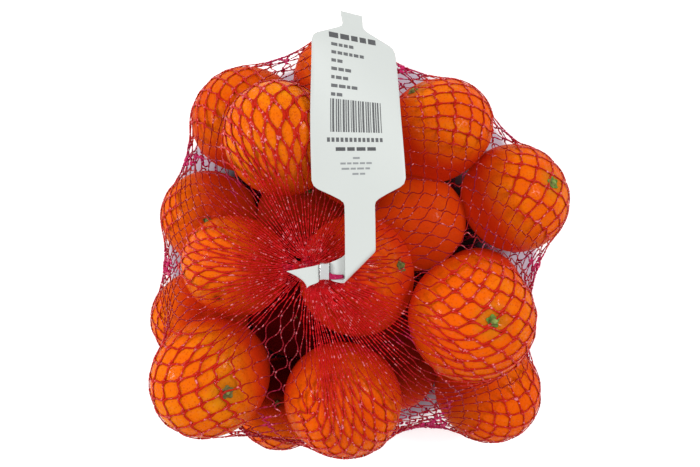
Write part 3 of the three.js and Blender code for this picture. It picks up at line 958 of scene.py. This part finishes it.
def is_rope(place):
    """True for a face of the gathered rope at the neck or under the base, and not of the film."""
    from_neck = math.hypot(place[0] - FUNNEL[0], place[1] - FUNNEL[1])
    above_film = place[2] > FUNNEL[2] + ROPE_SLOPE * max(from_neck - FUNNEL_RING, 0) + 0.5
    neck = above_film and from_neck < ROPE_REACH and place[2] < ROPE_TOP
    from_base = math.hypot(place[0] - HOLLOW[0], place[1] - HOLLOW[1])
    return neck or (from_base < LOWER_ROPE[0] and place[2] < HOLLOW[2] - LOWER_ROPE[1])


def cells_at(grid, low, step, points):
    """A grid's values at these points, mixed between its places."""
    share = np.clip((points - low) / step, 0, np.array(grid.shape[:3]) - 1.001)
    cell = share.astype(int)
    part = share - cell
    mixed = 0
    for corner in np.ndindex(2, 2, 2):
        weight = np.prod(np.where(corner, part, 1 - part), -1)[..., None]
        x, y, z = (cell[..., i] + corner[i] for i in range(3))
        mixed = mixed + weight * grid[x, y, z]
    return mixed


def net_cover(bag, lines):
    """How much of the bag's surface the strands cover, on the bag's grid."""
    walked = np.linalg.norm(np.diff(lines, axis=1, append=lines[:, -1:]), axis=-1).reshape(-1)
    edges = [bag.low[i] + (np.arange(bag.counts[i] + 1) - 0.5) * GRID_STEP for i in range(3)]
    found, _ = np.histogramdd(lines.reshape(-1, 3), bins=edges, weights=walked * STRAND_WIDE)
    for axis in range(3):
        found = found + np.roll(found, 1, axis) + np.roll(found, -1, axis)
    return found[..., None] / (3 * GRID_STEP) ** 2


def crowding(bag, lines):
    """How far each place on the strands lies where they crowd together."""
    cover = cells_at(net_cover(bag, lines), bag.low, GRID_STEP, lines.reshape(-1, 3))[:, 0]
    return smooth_share(cover, *VEIL_COVER).reshape(lines.shape[:2])


def shade_under_net(points, bag, cover):
    """How much painted red shade the net above puts on the peel, and how deep in the heap's painted shade it
    is.
    """
    place, _ = bag.at(points)
    above = cells_at(cover, bag.low, GRID_STEP, place)[:, 0]
    depth = np.linalg.norm(points - place, axis=-1)
    veil = np.maximum(smooth_share(above, *VEIL_COVER), REDDER_MOST * smooth_share(depth, *REDDER))
    return veil, smooth_share(depth, *DEEP)


# ---- The net's courses ----

def joint_turns(course):
    """The ways round the net of a course's joints, which lie between those of the courses beside it."""
    return 2 * math.pi * (2 * np.arange(WALES // 2) + course % 2) / WALES


def ring_points(middle, radius, turns):
    return np.array(middle) + radius * np.stack([np.cos(turns), np.sin(turns), 0 * turns], -1)


def first_net(surface):
    """Both ends of every joint, spread evenly between the neck and the closed end, before tension."""
    top = unit(np.subtract(FUNNEL, BAG_MIDDLE))
    low = unit(np.subtract(HOLLOW, BAG_MIDDLE))
    axis = unit(top - low)
    east = unit(np.cross((0, 1, 0), axis))
    north = np.cross(axis, east)
    ends = np.zeros((2, COURSES, WALES // 2, 3))
    for j in range(COURSES):
        turn = joint_turns(j)
        ring = np.cos(turn)[:, None] * east + np.sin(turn)[:, None] * north
        for e in (0, 1):
            share = (j + 0.3 * e) / (COURSES - 0.7)
            aim = math.cos(math.pi * share) * axis + math.sin(math.pi * share) * ring
            aim = aim + (1 - share) ** 2 * (top - axis) + share ** 2 * (low + axis)
            ends[e, j] = surface.first_place(unit(aim))
    return ends


def shifted(courses, side, way):
    """Values of the joints that the left (0) or right (1) legs lead to (way 1), or the reverse (way -1)."""
    out = courses.copy()
    moved = np.arange(COURSES - 1) % 2 == side
    out[moved] = np.roll(courses[moved], way * (1 - 2 * side), axis=1)
    return out


def pull(apart, rest, stiff, slack):
    length = np.linalg.norm(apart, axis=-1, keepdims=True)
    stretch = length - rest
    return apart / np.maximum(length, 1e-6) * np.where(stretch > 0, stiff * stretch, slack * stretch)


def crowded_turns(turns):
    """Ways round the neck moved together where its strands crowd."""
    way = np.linspace(-math.pi, math.pi, 721)
    close = np.ones(len(way))
    for side, wide, more in CROWDS:
        close += more * fading((way - side + math.pi) % TURN - math.pi, wide)
    walked = np.concatenate([[0], np.cumsum((close[1:] + close[:-1]) / 2)])
    walked = TURN * walked / walked[-1] - math.pi
    shift = (np.interp(way, walked, way) - way).mean()
    laps = TURN * np.floor((turns + math.pi) / TURN)
    return np.interp(turns - laps, walked, way) + laps - shift


def neck_spread():
    """The way that each joint should lie from the neck, seen from above, and how firmly."""
    courses = np.arange(COURSES)[:, None]
    even = crowded_turns(joint_turns(courses))
    turn = even
    for far, many, start in SPREAD_WAVES:
        turn = turn + far * np.sin(many * even + start)
    share = np.clip(1 - courses / SPREAD_COURSES, 0, 1)
    hold = np.broadcast_to(SPREAD_HOLD * share, turn.shape)[..., None]
    return np.stack([np.cos(turn), np.sin(turn)], -1), hold


def knit(surface):
    """Draws the net tight over the bag's surface, from the neck to the closed end."""
    draw = np.random.default_rng(7)
    ends = first_net(surface)
    ends[0, 0] = ring_points(FUNNEL, FUNNEL_RING, joint_turns(0))
    ends[1, -1] = ring_points(HOLLOW, HOLLOW_RING, joint_turns(COURSES - 1))
    legs = LEG_LENGTH * (1 + LEG_SPREAD * draw.normal(size=(2, COURSES - 1, WALES // 2, 1)))
    aim, hold = neck_spread()
    speed = np.zeros_like(ends)
    free = np.ones((*ends.shape[:3], 1), bool)
    free[0, 0] = False
    free[1, -1] = False
    for _ in range(RELAX_ROUNDS):
        force = np.zeros_like(ends)
        away = ends[..., :2] - np.array(FUNNEL[:2])
        force[..., :2] += hold * (np.linalg.norm(away, axis=-1, keepdims=True) * aim - away)
        across = pull(ends[1] - ends[0], JOINT_LENGTH, *JOINT_PULL)
        force[0] += across
        force[1] -= across
        for side in (0, 1):
            tension = pull(shifted(ends[0, 1:], side, 1) - ends[1, :-1], legs[side], *LEG_PULL)
            force[1, :-1] += tension
            force[0, 1:] -= shifted(tension, side, -1)
        speed = SPEED_KEPT * speed + FORCE_SHARE * force
        place, normal = surface.at(np.where(free, ends + speed, ends))
        speed = speed - (speed * normal).sum(-1, keepdims=True) * normal
        ends = np.where(free, place - NET_INSET * normal, ends)
    return ends


# ---- The net's strands ----

def lift_off(points, heap, room):
    """Moves points that are inside a mandarin out on to its skin, with room for half a strand."""
    for fruit in heap:
        near = np.linalg.norm(points - fruit.middle, axis=-1) < fruit.radius + room + 1
        local = fruit.local(points[near])
        skin = np.linalg.norm(fruit.skin(unit(local / fruit.sizes())), axis=-1)
        length = np.linalg.norm(local, axis=-1)
        short = np.maximum(skin + room - length, 0)
        points[near] = fruit.world(local * (1 + short / np.maximum(length, 1e-6))[..., None])
    return points


def wale_stops(ends, surface):
    """Where each wale enters and leaves its joints, beside one neighbour and then beside the other."""
    _, normal = surface.at((ends[0] + ends[1]) / 2)
    right = unit(np.cross(unit(ends[1] - ends[0]), normal))
    to_next = np.roll(ends[0], -1, axis=1) - ends[0]
    right = right * np.sign((right * to_next).sum(-1).mean())
    wales = np.arange(WALES)
    stops = []
    for j in range(COURSES):
        joint = (wales - j % 2) // 2 % (WALES // 2)
        side = np.where(wales % 2 == j % 2, -1, 1)
        beside = (side * JOINT_APART)[:, None] * right[j, joint]
        stops += [ends[0, j, joint] + beside, ends[1, j, joint] + beside]
    return np.stack(stops, 1)


def wale_lines(ends, surface, heap):
    """The path of each wale over the bag and the fruit, and the way out along it."""
    stops = wale_stops(ends, surface)
    final = stops.shape[1] - 1
    lines = [stops[:, :1]]
    for s in range(final):
        around = (stops[:, i] for i in (max(s - 1, 0), s, s + 1, min(s + 2, final)))
        lines.append(curved_step(*around, LEG_STEPS if s % 2 else JOINT_STEPS))
    lines = straighten(np.concatenate(lines, 1), surface)
    flat = lines.reshape(-1, 3)
    place, normal = surface.at(flat)
    far = np.ones(len(flat), bool)
    for middle, ring in ((FUNNEL, FUNNEL_RING), (HOLLOW, HOLLOW_RING)):
        far &= np.linalg.norm(flat - np.array(middle), axis=-1) > ring + RING_CLEAR
    flat = np.where(far[:, None], place - NET_INSET * normal, flat)
    flat = lift_off(flat, heap, STRAND_ROOM)
    flat[:, 2] = np.maximum(flat[:, 2], STRAND_LOWEST)
    return flat.reshape(lines.shape), normal.reshape(lines.shape)


def straighten(lines, bag):
    """Draws strands that crowd together into straighter ones, as the pull towards the neck does."""
    pulled = PULLED * crowding(bag, lines)[..., None]
    for n in range(PULLED_ROUNDS):
        weight = np.maximum(pulled, EVEN_PULL) if n < EVEN_ROUNDS else pulled
        middle = (lines[:, :-2] + lines[:, 2:]) / 2
        lines[:, 1:-1] += weight[:, 1:-1] * (middle - lines[:, 1:-1])
    return lines


def curved_step(before, start, end, after, steps):
    """Points after start, up to end, on a smooth curve through both."""
    share = (np.arange(1, steps + 1) / steps)[None, :, None]
    reach = np.linalg.norm(end - start, axis=-1, keepdims=True)
    leave = unit(end - before) * reach * LEG_BEND
    arrive = unit(after - start) * reach * LEG_BEND
    return hermite(share, *(v[:, None] for v in (start, leave, end, arrive)))


def twisted_strands(lines, normals, wide, thick, pitch, phase, swing):
    """Closed tubes of flat section that turn to and fro about their lines, as points and faces."""
    count, steps = lines.shape[:2]
    along = unit(np.gradient(lines, axis=1))
    side = unit(np.cross(along, normals))
    over = np.cross(side, along)
    walked = np.cumsum(np.linalg.norm(np.diff(lines, axis=1, prepend=lines[:, :1]), axis=-1), 1)
    turn = swing * np.sin(2 * math.pi * walked / pitch + phase[:, None])
    n = STRAND_SIDES
    corner = np.arange(n) * 2 * math.pi / n
    w = np.broadcast_to(wide, (count, steps))[..., None] / 2 * np.cos(corner)
    h = np.broadcast_to(thick, (count, steps))[..., None] / 2 * np.sin(corner)
    c, s = np.cos(turn)[..., None], np.sin(turn)[..., None]
    points = (
        lines[:, :, None]
        + (w * c - h * s)[..., None] * side[:, :, None]
        + (w * s + h * c)[..., None] * over[:, :, None]
    )
    k = np.arange(n)
    rows = (np.arange(steps - 1) * n)[:, None]
    quads = np.stack([rows + k, rows + n + k, rows + n + (k + 1) % n, rows + (k + 1) % n], -1).reshape(-1, 4)
    caps = np.array([[0, 1, 2, 3], [3, 4, 5, 0]])
    one = np.concatenate([quads, caps, caps[:, ::-1] + (steps - 1) * n])
    quads = (one[None] + (np.arange(count) * steps * n)[:, None, None]).reshape(-1, 4)
    return points.reshape(-1, 3), quads


def reach_to_fruit(points, ways, heap):
    """How far each place is from the nearest mandarin this way, or 1000."""
    nearest = np.full(len(points), 1000.0)
    for fruit in heap:
        start = fruit.local(points) / fruit.sizes()
        way = fruit.local(fruit.middle + ways) / fruit.sizes()
        a, b, c = (way * way).sum(-1), (start * way).sum(-1), (start * start).sum(-1) - 1
        square = b * b - a * c
        reach = np.maximum((-b - np.sqrt(np.maximum(square, 0))) / a, 0)
        hit = (square > 0) & ((b < 0) | (c < 0))
        nearest = np.where(hit, np.minimum(nearest, reach), nearest)
    return nearest


def fruit_behind(points, normals, heap):
    """How nearly each place touches a mandarin, how much painted light off the peel that gives it, how much
    painted shade a mandarin below gives it, how much painted shade a gap below gives it, and how far it hangs
    free at the rim."""
    inward = reach_to_fruit(points, -normals, heap)
    down = reach_to_fruit(points, -UP, heap)
    upward = normals[:, 2]
    touch = 1 - smooth_share(inward, *ON_FRUIT)
    free = smooth_share(inward, *FREE_INWARD) * smooth_share(down, *FREE_DOWN)
    outer = free * smooth_share(np.hypot(points[:, 0], points[:, 1]), *OUTER_RIM)
    least, *slopes = FACING
    facing = (least + (1 - least) * smooth_share(upward, *slopes)) * (1 - outer)
    over = np.maximum(touch, 1 - smooth_share(down, *FRUIT_DOWN)) * facing
    gap = (1 - touch - outer) * smooth_share(down, *OVER_GAP) * smooth_share(upward, *GAP_SLOPE)
    return touch, touch * facing, over, gap, outer


def add_net(heap, plastic, bag, lines, normals):
    draw = np.random.default_rng(11)
    phase = draw.uniform(0, TURN, WALES)
    per_course = JOINT_STEPS + LEG_STEPS
    joint = np.arange(lines.shape[1]) % per_course <= JOINT_STEPS
    swell = np.where(joint, JOINT_SWELL, 1)
    crowd = crowding(bag, lines)
    behind = fruit_behind(lines.reshape(-1, 3), normals.reshape(-1, 3), heap)
    touch, on, over, gap, outer = (v.reshape(crowd.shape) for v in behind)
    # Painted light and shade on the strands, by what lies under them.
    looks = {"on_fruit": on, "over_fruit": over, "over_gap": gap * (1 - crowd), "crowd": crowd}
    rim = 1 - smooth_share(normals[..., 2], *RIM_SLOPE)
    full = np.maximum(np.maximum(touch, rim), OUTER_WIDE * outer)
    spread = (FREE_WIDE + (1 - FREE_WIDE) * full) * (1 - CROWDED_THIN * crowd)
    from_there = np.linalg.norm(lines - np.array(WIDER_AT, float), axis=-1)
    wide = STRAND_WIDE * swell * spread * (1 + WIDER * fading(from_there, WIDER_REACH))
    thick = np.broadcast_to(STRAND_THICK * swell, wide.shape)
    swing = STRAND_SWING - HELD_SWING * touch * (1 - crowd)
    bands = len(NET_BANDS)
    cuts = [round(COURSES * b / bands) * per_course for b in range(bands)] + [lines.shape[1] - 1]
    for name, start, stop in zip(NET_BANDS, cuts, cuts[1:]):
        part = (slice(None), slice(start, stop + 1))
        forms = (values[part] for values in (lines, normals, wide, thick))
        points, quads = twisted_strands(*forms, STRAND_PITCH, phase, swing[part])
        piece = new_grid_piece(name, points, quads, plastic, "filled_net")
        shown = {look: np.repeat(values[part].ravel(), STRAND_SIDES) for look, values in looks.items()}
        write_looks(piece, **shown)
    add_gather("net_neck", lines[:, 0], NECK_STOPS, plastic, draw)
    add_gather("net_closed_end", lines[:, -1], BASE_STOPS, plastic, draw)


def rope_line(stops):
    """A rope's middle line, its half width and height, and the ways along, across and over it."""
    stops = np.array(stops, float)
    share = np.linspace(0, len(stops) - 1, ROPE_STEPS + 1)
    at = np.minimum(share.astype(int), len(stops) - 2)
    part = (share - at)[:, None]
    row = stops[at] * (1 - part) + stops[at + 1] * part
    middle, sizes = row[:, :3], row[:, 3:]
    for _ in range(2):
        middle[1:-1] = (middle[:-2] + 2 * middle[1:-1] + middle[2:]) / 4
    along = unit(np.gradient(middle, axis=0))
    side = np.cross(UP, along)
    side[np.linalg.norm(side, axis=-1) < 0.15] = (1, 0, 0)
    side = unit(side)
    return middle, sizes, along, side, np.cross(along, side)


def cut_short(lines, short):
    """Strands that stop this many steps before the rope's end."""
    steps = np.arange(ROPE_STEPS + 1)[None]
    last = np.minimum(steps, ROPE_STEPS - short[:, None])
    low = last.astype(int)
    high = np.minimum(low + 1, ROPE_STEPS)
    rows = np.arange(len(lines))[:, None]
    return lines[rows, low] + (last - low)[..., None] * (lines[rows, high] - lines[rows, low])


def add_gather(name, starts, stops, plastic, draw):
    """The strands past the last course, drawn together into a rope that spreads a little at its end."""
    middle, sizes, along, side, over = rope_line(stops)
    count = len(starts)
    depth = np.sqrt(draw.uniform(ROPE_INNER, 1, count))
    away = starts - middle[0]
    angle = np.arctan2(away @ over[0], away @ side[0])
    walk = np.linspace(0, ROPE_WALK, ROPE_STEPS + 1)
    wander = ROPE_WANDER * np.sin(walk[None] + draw.uniform(0, 6, count)[:, None])
    turn = angle[:, None] + wander
    far = depth[:, None] * (1 + ROPE_BREATHE * wander)
    lines = (
        middle
        + (far * np.cos(turn) * sizes[:, 0])[..., None] * side
        + (far * np.sin(turn) * sizes[:, 1])[..., None] * over
    )
    lines = cut_short(lines, draw.uniform(0, 1, count) ** 2 * ROPE_SHORT)
    lines += ROPE_CREEP * np.arange(ROPE_STEPS + 1)[:, None] * along
    ease = np.clip(walk, 0, 1)[:, None]
    lines = starts[:, None] * (1 - ease) + lines * ease
    normals = np.broadcast_to(over, lines.shape)
    phase = draw.uniform(0, TURN, count)
    form = (ROPE_WIDE, ROPE_THICK, ROPE_PITCH, phase, STRAND_SWING)
    points, quads = twisted_strands(lines, normals, *form)
    piece = new_grid_piece(name, points, quads, plastic, "filled_net")
    # Painted shade on the strands past the clip; the rest of the rope is crowded red.
    tail = np.repeat((lines[..., 0] > CLIP_MIDDLE[0]).ravel(), STRAND_SIDES)
    none = np.zeros(len(points))
    write_looks(piece, on_fruit=none, over_fruit=none, over_gap=TAIL_DARK * tail, crowd=1.0 - tail)


# ---- The clips ----

def rounded_ring(width, height, inset):
    """The outline of a rectangle with round corners, this far inside."""
    x, y = width / 2 - CLIP_CORNER, height / 2 - CLIP_CORNER
    radius = max(CLIP_CORNER - inset, CORNER_LEAST)
    points = []
    for quarter, (cx, cy) in enumerate(((x, y), (-x, y), (-x, -y), (x, -y))):
        for s in range(CORNER_STEPS + 1):
            angle = math.pi / 2 * (quarter + s / CORNER_STEPS)
            points.append((cx + radius * math.cos(angle), cy + radius * math.sin(angle)))
    return points


def band_profile(length):
    """The section of a bent band, round its wall, as (place along the band, depth from the outside)."""
    half, wall, ease = length / 2, CLIP_WALL, CLIP_EASE
    near = ease * 0.3
    edge = [
        (half - ease, 0.0), (half - near, near), (half, ease),
        (half, wall - ease), (half - near, wall - near), (half - ease, wall),
    ]
    pinch, most = CLIP_PINCH
    other_edge = [(-z, inset) for z, inset in reversed(edge)]
    return edge + [(0, wall)] + other_edge + [(-half / 2, pinch), (0, most), (half / 2, pinch)]


def clip_band(name, width, height, length, seat, metal, cad_node):
    """A bent band with eased edges, pinched a little along its middle. seat(x, y, z) places its points."""
    profile = band_profile(length)
    rings = [[seat(x, y, z) for x, y in rounded_ring(width, height, inset)] for z, inset in profile]
    around = len(rings[0])
    faces = []
    for p in range(len(rings)):
        a, b = p * around, (p + 1) % len(rings) * around
        for k in range(around):
            n = (k + 1) % around
            faces.append((a + k, a + n, b + n, b + k))
    return new_piece(name, np.concatenate(rings), faces, metal, "clip", cad_node)


def add_clips(metal):
    x0, y0, z0 = CLIP_MIDDLE
    clip_band(
        "neck_clip_band", CLIP_HEIGHT, CLIP_WIDTH, CLIP_LENGTH,
        lambda x, y, z: (x0 + z, y0 + y, z0 - x), metal, "neck_clip",
    )
    clip_band(
        "base_clip_band", BASE_CLIP_SIZE, BASE_CLIP_SIZE, BASE_CLIP_LENGTH,
        lambda x, y, z: (HOLLOW[0] + x, HOLLOW[1] + y, BASE_CLIP_Z + z), metal, "base_clip",
    )


# ---- The tag ----

class TagLine:
    """The tag's middle line past the fold, by distance along it."""

    def __init__(self):
        stops = np.array(TAG_LINE, float)
        places = stops[:, :3]
        padded = np.concatenate([[2 * places[0] - places[1]], places, [2 * places[-1] - places[-2]]])
        samples = []
        for i in range(len(places) - 1):
            p0, p1, p2, p3 = padded[i:i + 4]
            t0, t1, t2 = (math.sqrt(np.linalg.norm(b - a)) for a, b in ((p0, p1), (p1, p2), (p2, p3)))
            leave = ((p1 - p0) / t0 - (p2 - p0) / (t0 + t1) + (p2 - p1) / t1) * t1
            arrive = ((p2 - p1) / t1 - (p3 - p1) / (t1 + t2) + (p3 - p2) / t2) * t1
            shares = np.linspace(0, 1, TAG_LINE_STEPS, endpoint=i == len(places) - 2)
            samples += [hermite(s, p1, leave, p2, arrive) for s in shares]
        self.points = np.array(samples)
        self.walked = np.concatenate([[0], np.cumsum(np.linalg.norm(np.diff(self.points, axis=0), axis=1))])
        self.falls = np.interp(self.points[:, 1], stops[:, 1], stops[:, 3])
        self.start = FOLD_MIDDLE[1] - TAG_LINE[0][1]

    def place(self, s):
        return np.array([np.interp(s, self.walked, self.points[:, i]) for i in range(3)])

    def frame(self, along):
        """The middle, the way forward and the way across, this far past the fold."""
        s = min(max(along + self.start, 0), self.walked[-1])
        forward = unit(self.place(s + 0.5) - self.place(s - 0.5))
        across = np.array([1, 0, -np.interp(s, self.walked, self.falls)])
        across = unit(across - (across @ forward) * forward)
        return self.place(s), forward, across

    def folded(self, x, y, z):
        """Bends a point of the flat tag over the diagonal fold. A point not past it keeps its height."""
        apart = (x - FOLD_MIDDLE[0] - (y - FOLD_MIDDLE[1])) / math.sqrt(2)
        line = (x - FOLD_MIDDLE[0] + (y - FOLD_MIDDLE[1])) / math.sqrt(2)
        bend = math.pi * FOLD_RADIUS
        past = apart + bend / 2
        if past <= 0:
            return np.array([x, y, z], float)
        middle, _, across = self.frame(x - FOLD_MIDDLE[0])
        upper = middle + across * (y - FOLD_MIDDLE[1])
        if past >= bend:
            return upper
        out = FOLD_RADIUS * math.sin(past / FOLD_RADIUS) - bend / 2
        rise = (1 - math.cos(past / FOLD_RADIUS)) / 2
        return np.array([
            FOLD_MIDDLE[0] + (line + out) / math.sqrt(2),
            FOLD_MIDDLE[1] + (line - out) / math.sqrt(2),
            z + (upper[2] - z) * rise,
        ])


def stub_rows(shares):
    """Rows across the stub and the creased strap, up to the fold."""
    stops = []
    for i, (lower, upper, z) in enumerate(STUB_ROWS):
        hollow = CUT_HOLLOW if i == 0 else 0
        x = lower[0] + (upper[0] - lower[0]) * shares + 4 * hollow * shares * (1 - shares)
        y = lower[1] + (upper[1] - lower[1]) * shares
        stops.append(np.stack([x, y, np.full(len(shares), float(z))], -1))
    rows = [stops[0]]
    for i in range(len(stops) - 1):
        before, start, end, after = (stops[min(max(i + n, 0), len(stops) - 1)] for n in (-1, 0, 1, 2))
        for s in range(1, STUB_STEPS + 1):
            rows.append(hermite(s / STUB_STEPS, start, (end - before) / 2, end, (after - start) / 2))
    return rows


def sheet_rows(shares):
    """Rows across the strap, the panel and the hanging tab past the fold, before they are bent."""
    rows = []
    for i, ((a, half_a), (b, half_b)) in enumerate(zip(TAG_OUTLINE, TAG_OUTLINE[1:])):
        count = math.ceil((b - a) / (TAG_ROW_STEP if i else FOLD_ROW_STEP))
        for k in range(1 if i else 0, count + 1):
            x = FOLD_MIDDLE[0] + a + (b - a) * k / count
            half = half_a + (half_b - half_a) * k / count
            rows.append([(x, FOLD_MIDDLE[1] + half * (2 * v - 1), STRAP_Z) for v in shares])
    return rows


def sheet_shell(rows, thickness):
    """A closed sheet about a surface that is given as rows of points."""
    across = np.gradient(rows, axis=1)
    normal = unit(np.cross(across, np.gradient(rows, axis=0)))
    upper = rows + normal * thickness / 2
    lower = rows - normal * thickness / 2
    points = np.concatenate([upper.reshape(-1, 3), lower.reshape(-1, 3)])
    count, columns = rows.shape[:2]
    under = count * columns
    faces = []
    for r in range(count - 1):
        for c in range(columns - 1):
            a = r * columns + c
            faces.append((a, a + 1, a + columns + 1, a + columns))
            faces.append((under + a, under + a + columns, under + a + columns + 1, under + a + 1))
    rim = list(range(columns - 1))
    rim += [r * columns + columns - 1 for r in range(count - 1)]
    rim += [(count - 1) * columns + c for c in range(columns - 1, 0, -1)]
    rim += [r * columns for r in range(count - 1, 0, -1)]
    faces += [(b, a, under + a, under + b) for a, b in zip(rim, rim[1:] + rim[:1])]
    return points, faces


def add_tag(tag, plastic):
    shares = np.linspace(0, 1, TAG_COLUMNS + 1)
    rows = stub_rows(shares) + sheet_rows(shares)
    rows = np.array([[tag.folded(*place) for place in row] for row in rows])
    piece = new_piece("tag_sheet", *sheet_shell(rows, TAG_THICKNESS), plastic, "tag", "label_tag")
    bevel = piece.modifiers.new("eased_edges", "BEVEL")
    bevel.width = TAG_EASE * MM
    bevel.segments = 2
    bevel.limit_method = "ANGLE"
    bevel.angle_limit = math.radians(50)


# ---- The tag's generic print ----

def patch(tag, along, across):
    """A thin closed patch of ink on the tag's face, from its limits along and across the tag."""
    rows = []
    for a in np.linspace(*along, int((along[1] - along[0]) / 3) + 2):
        middle, forward, side = tag.frame(a)
        face = middle + np.cross(side, forward) * (TAG_THICKNESS / 2 + INK_ABOVE)
        rows.append([face + side * c for c in np.linspace(*across, INK_COLUMNS)])
    return sheet_shell(np.array(rows), INK_THICKNESS)


def marks(draw, middle, half, start, width, lengths, gap, faint):
    """One line of generic marks, each as (limits along the tag, limits across it, how faint)."""
    line = []
    x = start
    while x < start + width - lengths[0]:
        length = min(draw.uniform(*lengths), start + width - x)
        line.append(((middle - half, middle + half), (x, x + length), faint))
        x += length + gap
    return line


def print_layout():
    draw = np.random.default_rng(23)
    lines = [HEADING]
    for row, width in enumerate(LIST_WIDTHS):
        lines.append((107 - 4.15 * row, 0.8, -12.5, width, (1.6, 3.4), 0.7, 0.15))
    lines += CODE_LINES
    for row, span in enumerate(NOTE_SPANS):
        lines.append((52.4 - 2.5 * row, 0.45, *span, (1.8, 3.6), 0.7, 0.75))
    layout = [mark for line in lines for mark in marks(draw, *line)]
    x = -12.8
    for k in range(BARS):
        width = BAR_WIDTHS[k % len(BAR_WIDTHS)]
        layout.append(((64.6, 80), (x, x + width), 0.05))
        x += width + BAR_GAPS[k % len(BAR_GAPS)]
    return layout


def add_print(tag, ink):
    layout = print_layout()
    shells = [patch(tag, along, across) for along, across, _ in layout]
    piece = new_piece("tag_print", *join_shells(shells), ink, "print", None, smooth=False)
    faint = [np.full(len(points), mark[2]) for (points, _), mark in zip(shells, layout)]
    write_looks(piece, faint=np.concatenate(faint))


# ---- The setting ----

def add_floor(surface):
    half = FLOOR_HALF * MM
    corners = [(x * half, y * half, 0) for x, y in ((-1, -1), (1, -1), (1, 1), (-1, 1))]
    mesh = bpy.data.meshes.new("floor")
    mesh.from_pydata(corners, [], [(0, 1, 2, 3)])
    mesh.materials.append(surface)
    floor = bpy.data.objects.new("floor", mesh)
    bpy.context.scene.collection.objects.link(floor)


def add_light():
    for name, (place, power) in LAMPS.items():
        lamp = bpy.data.lights.new(name, "AREA")
        lamp.shape = "RECTANGLE"
        lamp.size = lamp.size_y = LAMP_SIZE * MM
        lamp.energy = power
        made = bpy.data.objects.new(name, lamp)
        made.location = Vector(place) * MM
        made.rotation_euler = (Vector(LAMP_AIM) - Vector(place)).to_track_quat("-Z", "Y").to_euler()
        bpy.context.scene.collection.objects.link(made)
    world = bpy.data.worlds.new("studio")
    world.use_nodes = True
    world.node_tree.nodes["Background"].inputs["Color"].default_value = (1, 1, 1, 1)
    world.node_tree.nodes["Background"].inputs["Strength"].default_value = STUDIO_LIGHT
    bpy.context.scene.world = world


def add_camera():
    lens = bpy.data.cameras.new("camera")
    lens.sensor_width = SENSOR
    lens.lens = SENSOR * CAMERA_FOCAL / PICTURE_WIDTH
    lens.clip_start, lens.clip_end = 0.01, 20
    camera = bpy.data.objects.new("camera", lens)
    camera.location = Vector(CAMERA_AT) * MM
    bpy.context.scene.collection.objects.link(camera)
    bpy.context.scene.camera = camera


def main():
    add_camera()
    mottle, pits = mottle_group(), pits_group()
    heap = lay_heap()
    settle(heap)
    bag = BagSurface(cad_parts["filled_net"])
    lines, normals = wale_lines(knit(bag), bag, heap)
    add_mandarins(heap, peel_material(mottle, pits), bag, lines)
    add_calyxes(heap, calyx_material(mottle))
    add_net(heap, net_material(mottle), bag, lines, normals)
    add_clips(clip_material(mottle))
    tag = TagLine()
    add_tag(tag, tag_material(mottle))
    add_print(tag, print_material(mottle))
    add_floor(floor_material())
    add_light()
    bpy.context.scene.view_settings.view_transform = "Standard"


main()
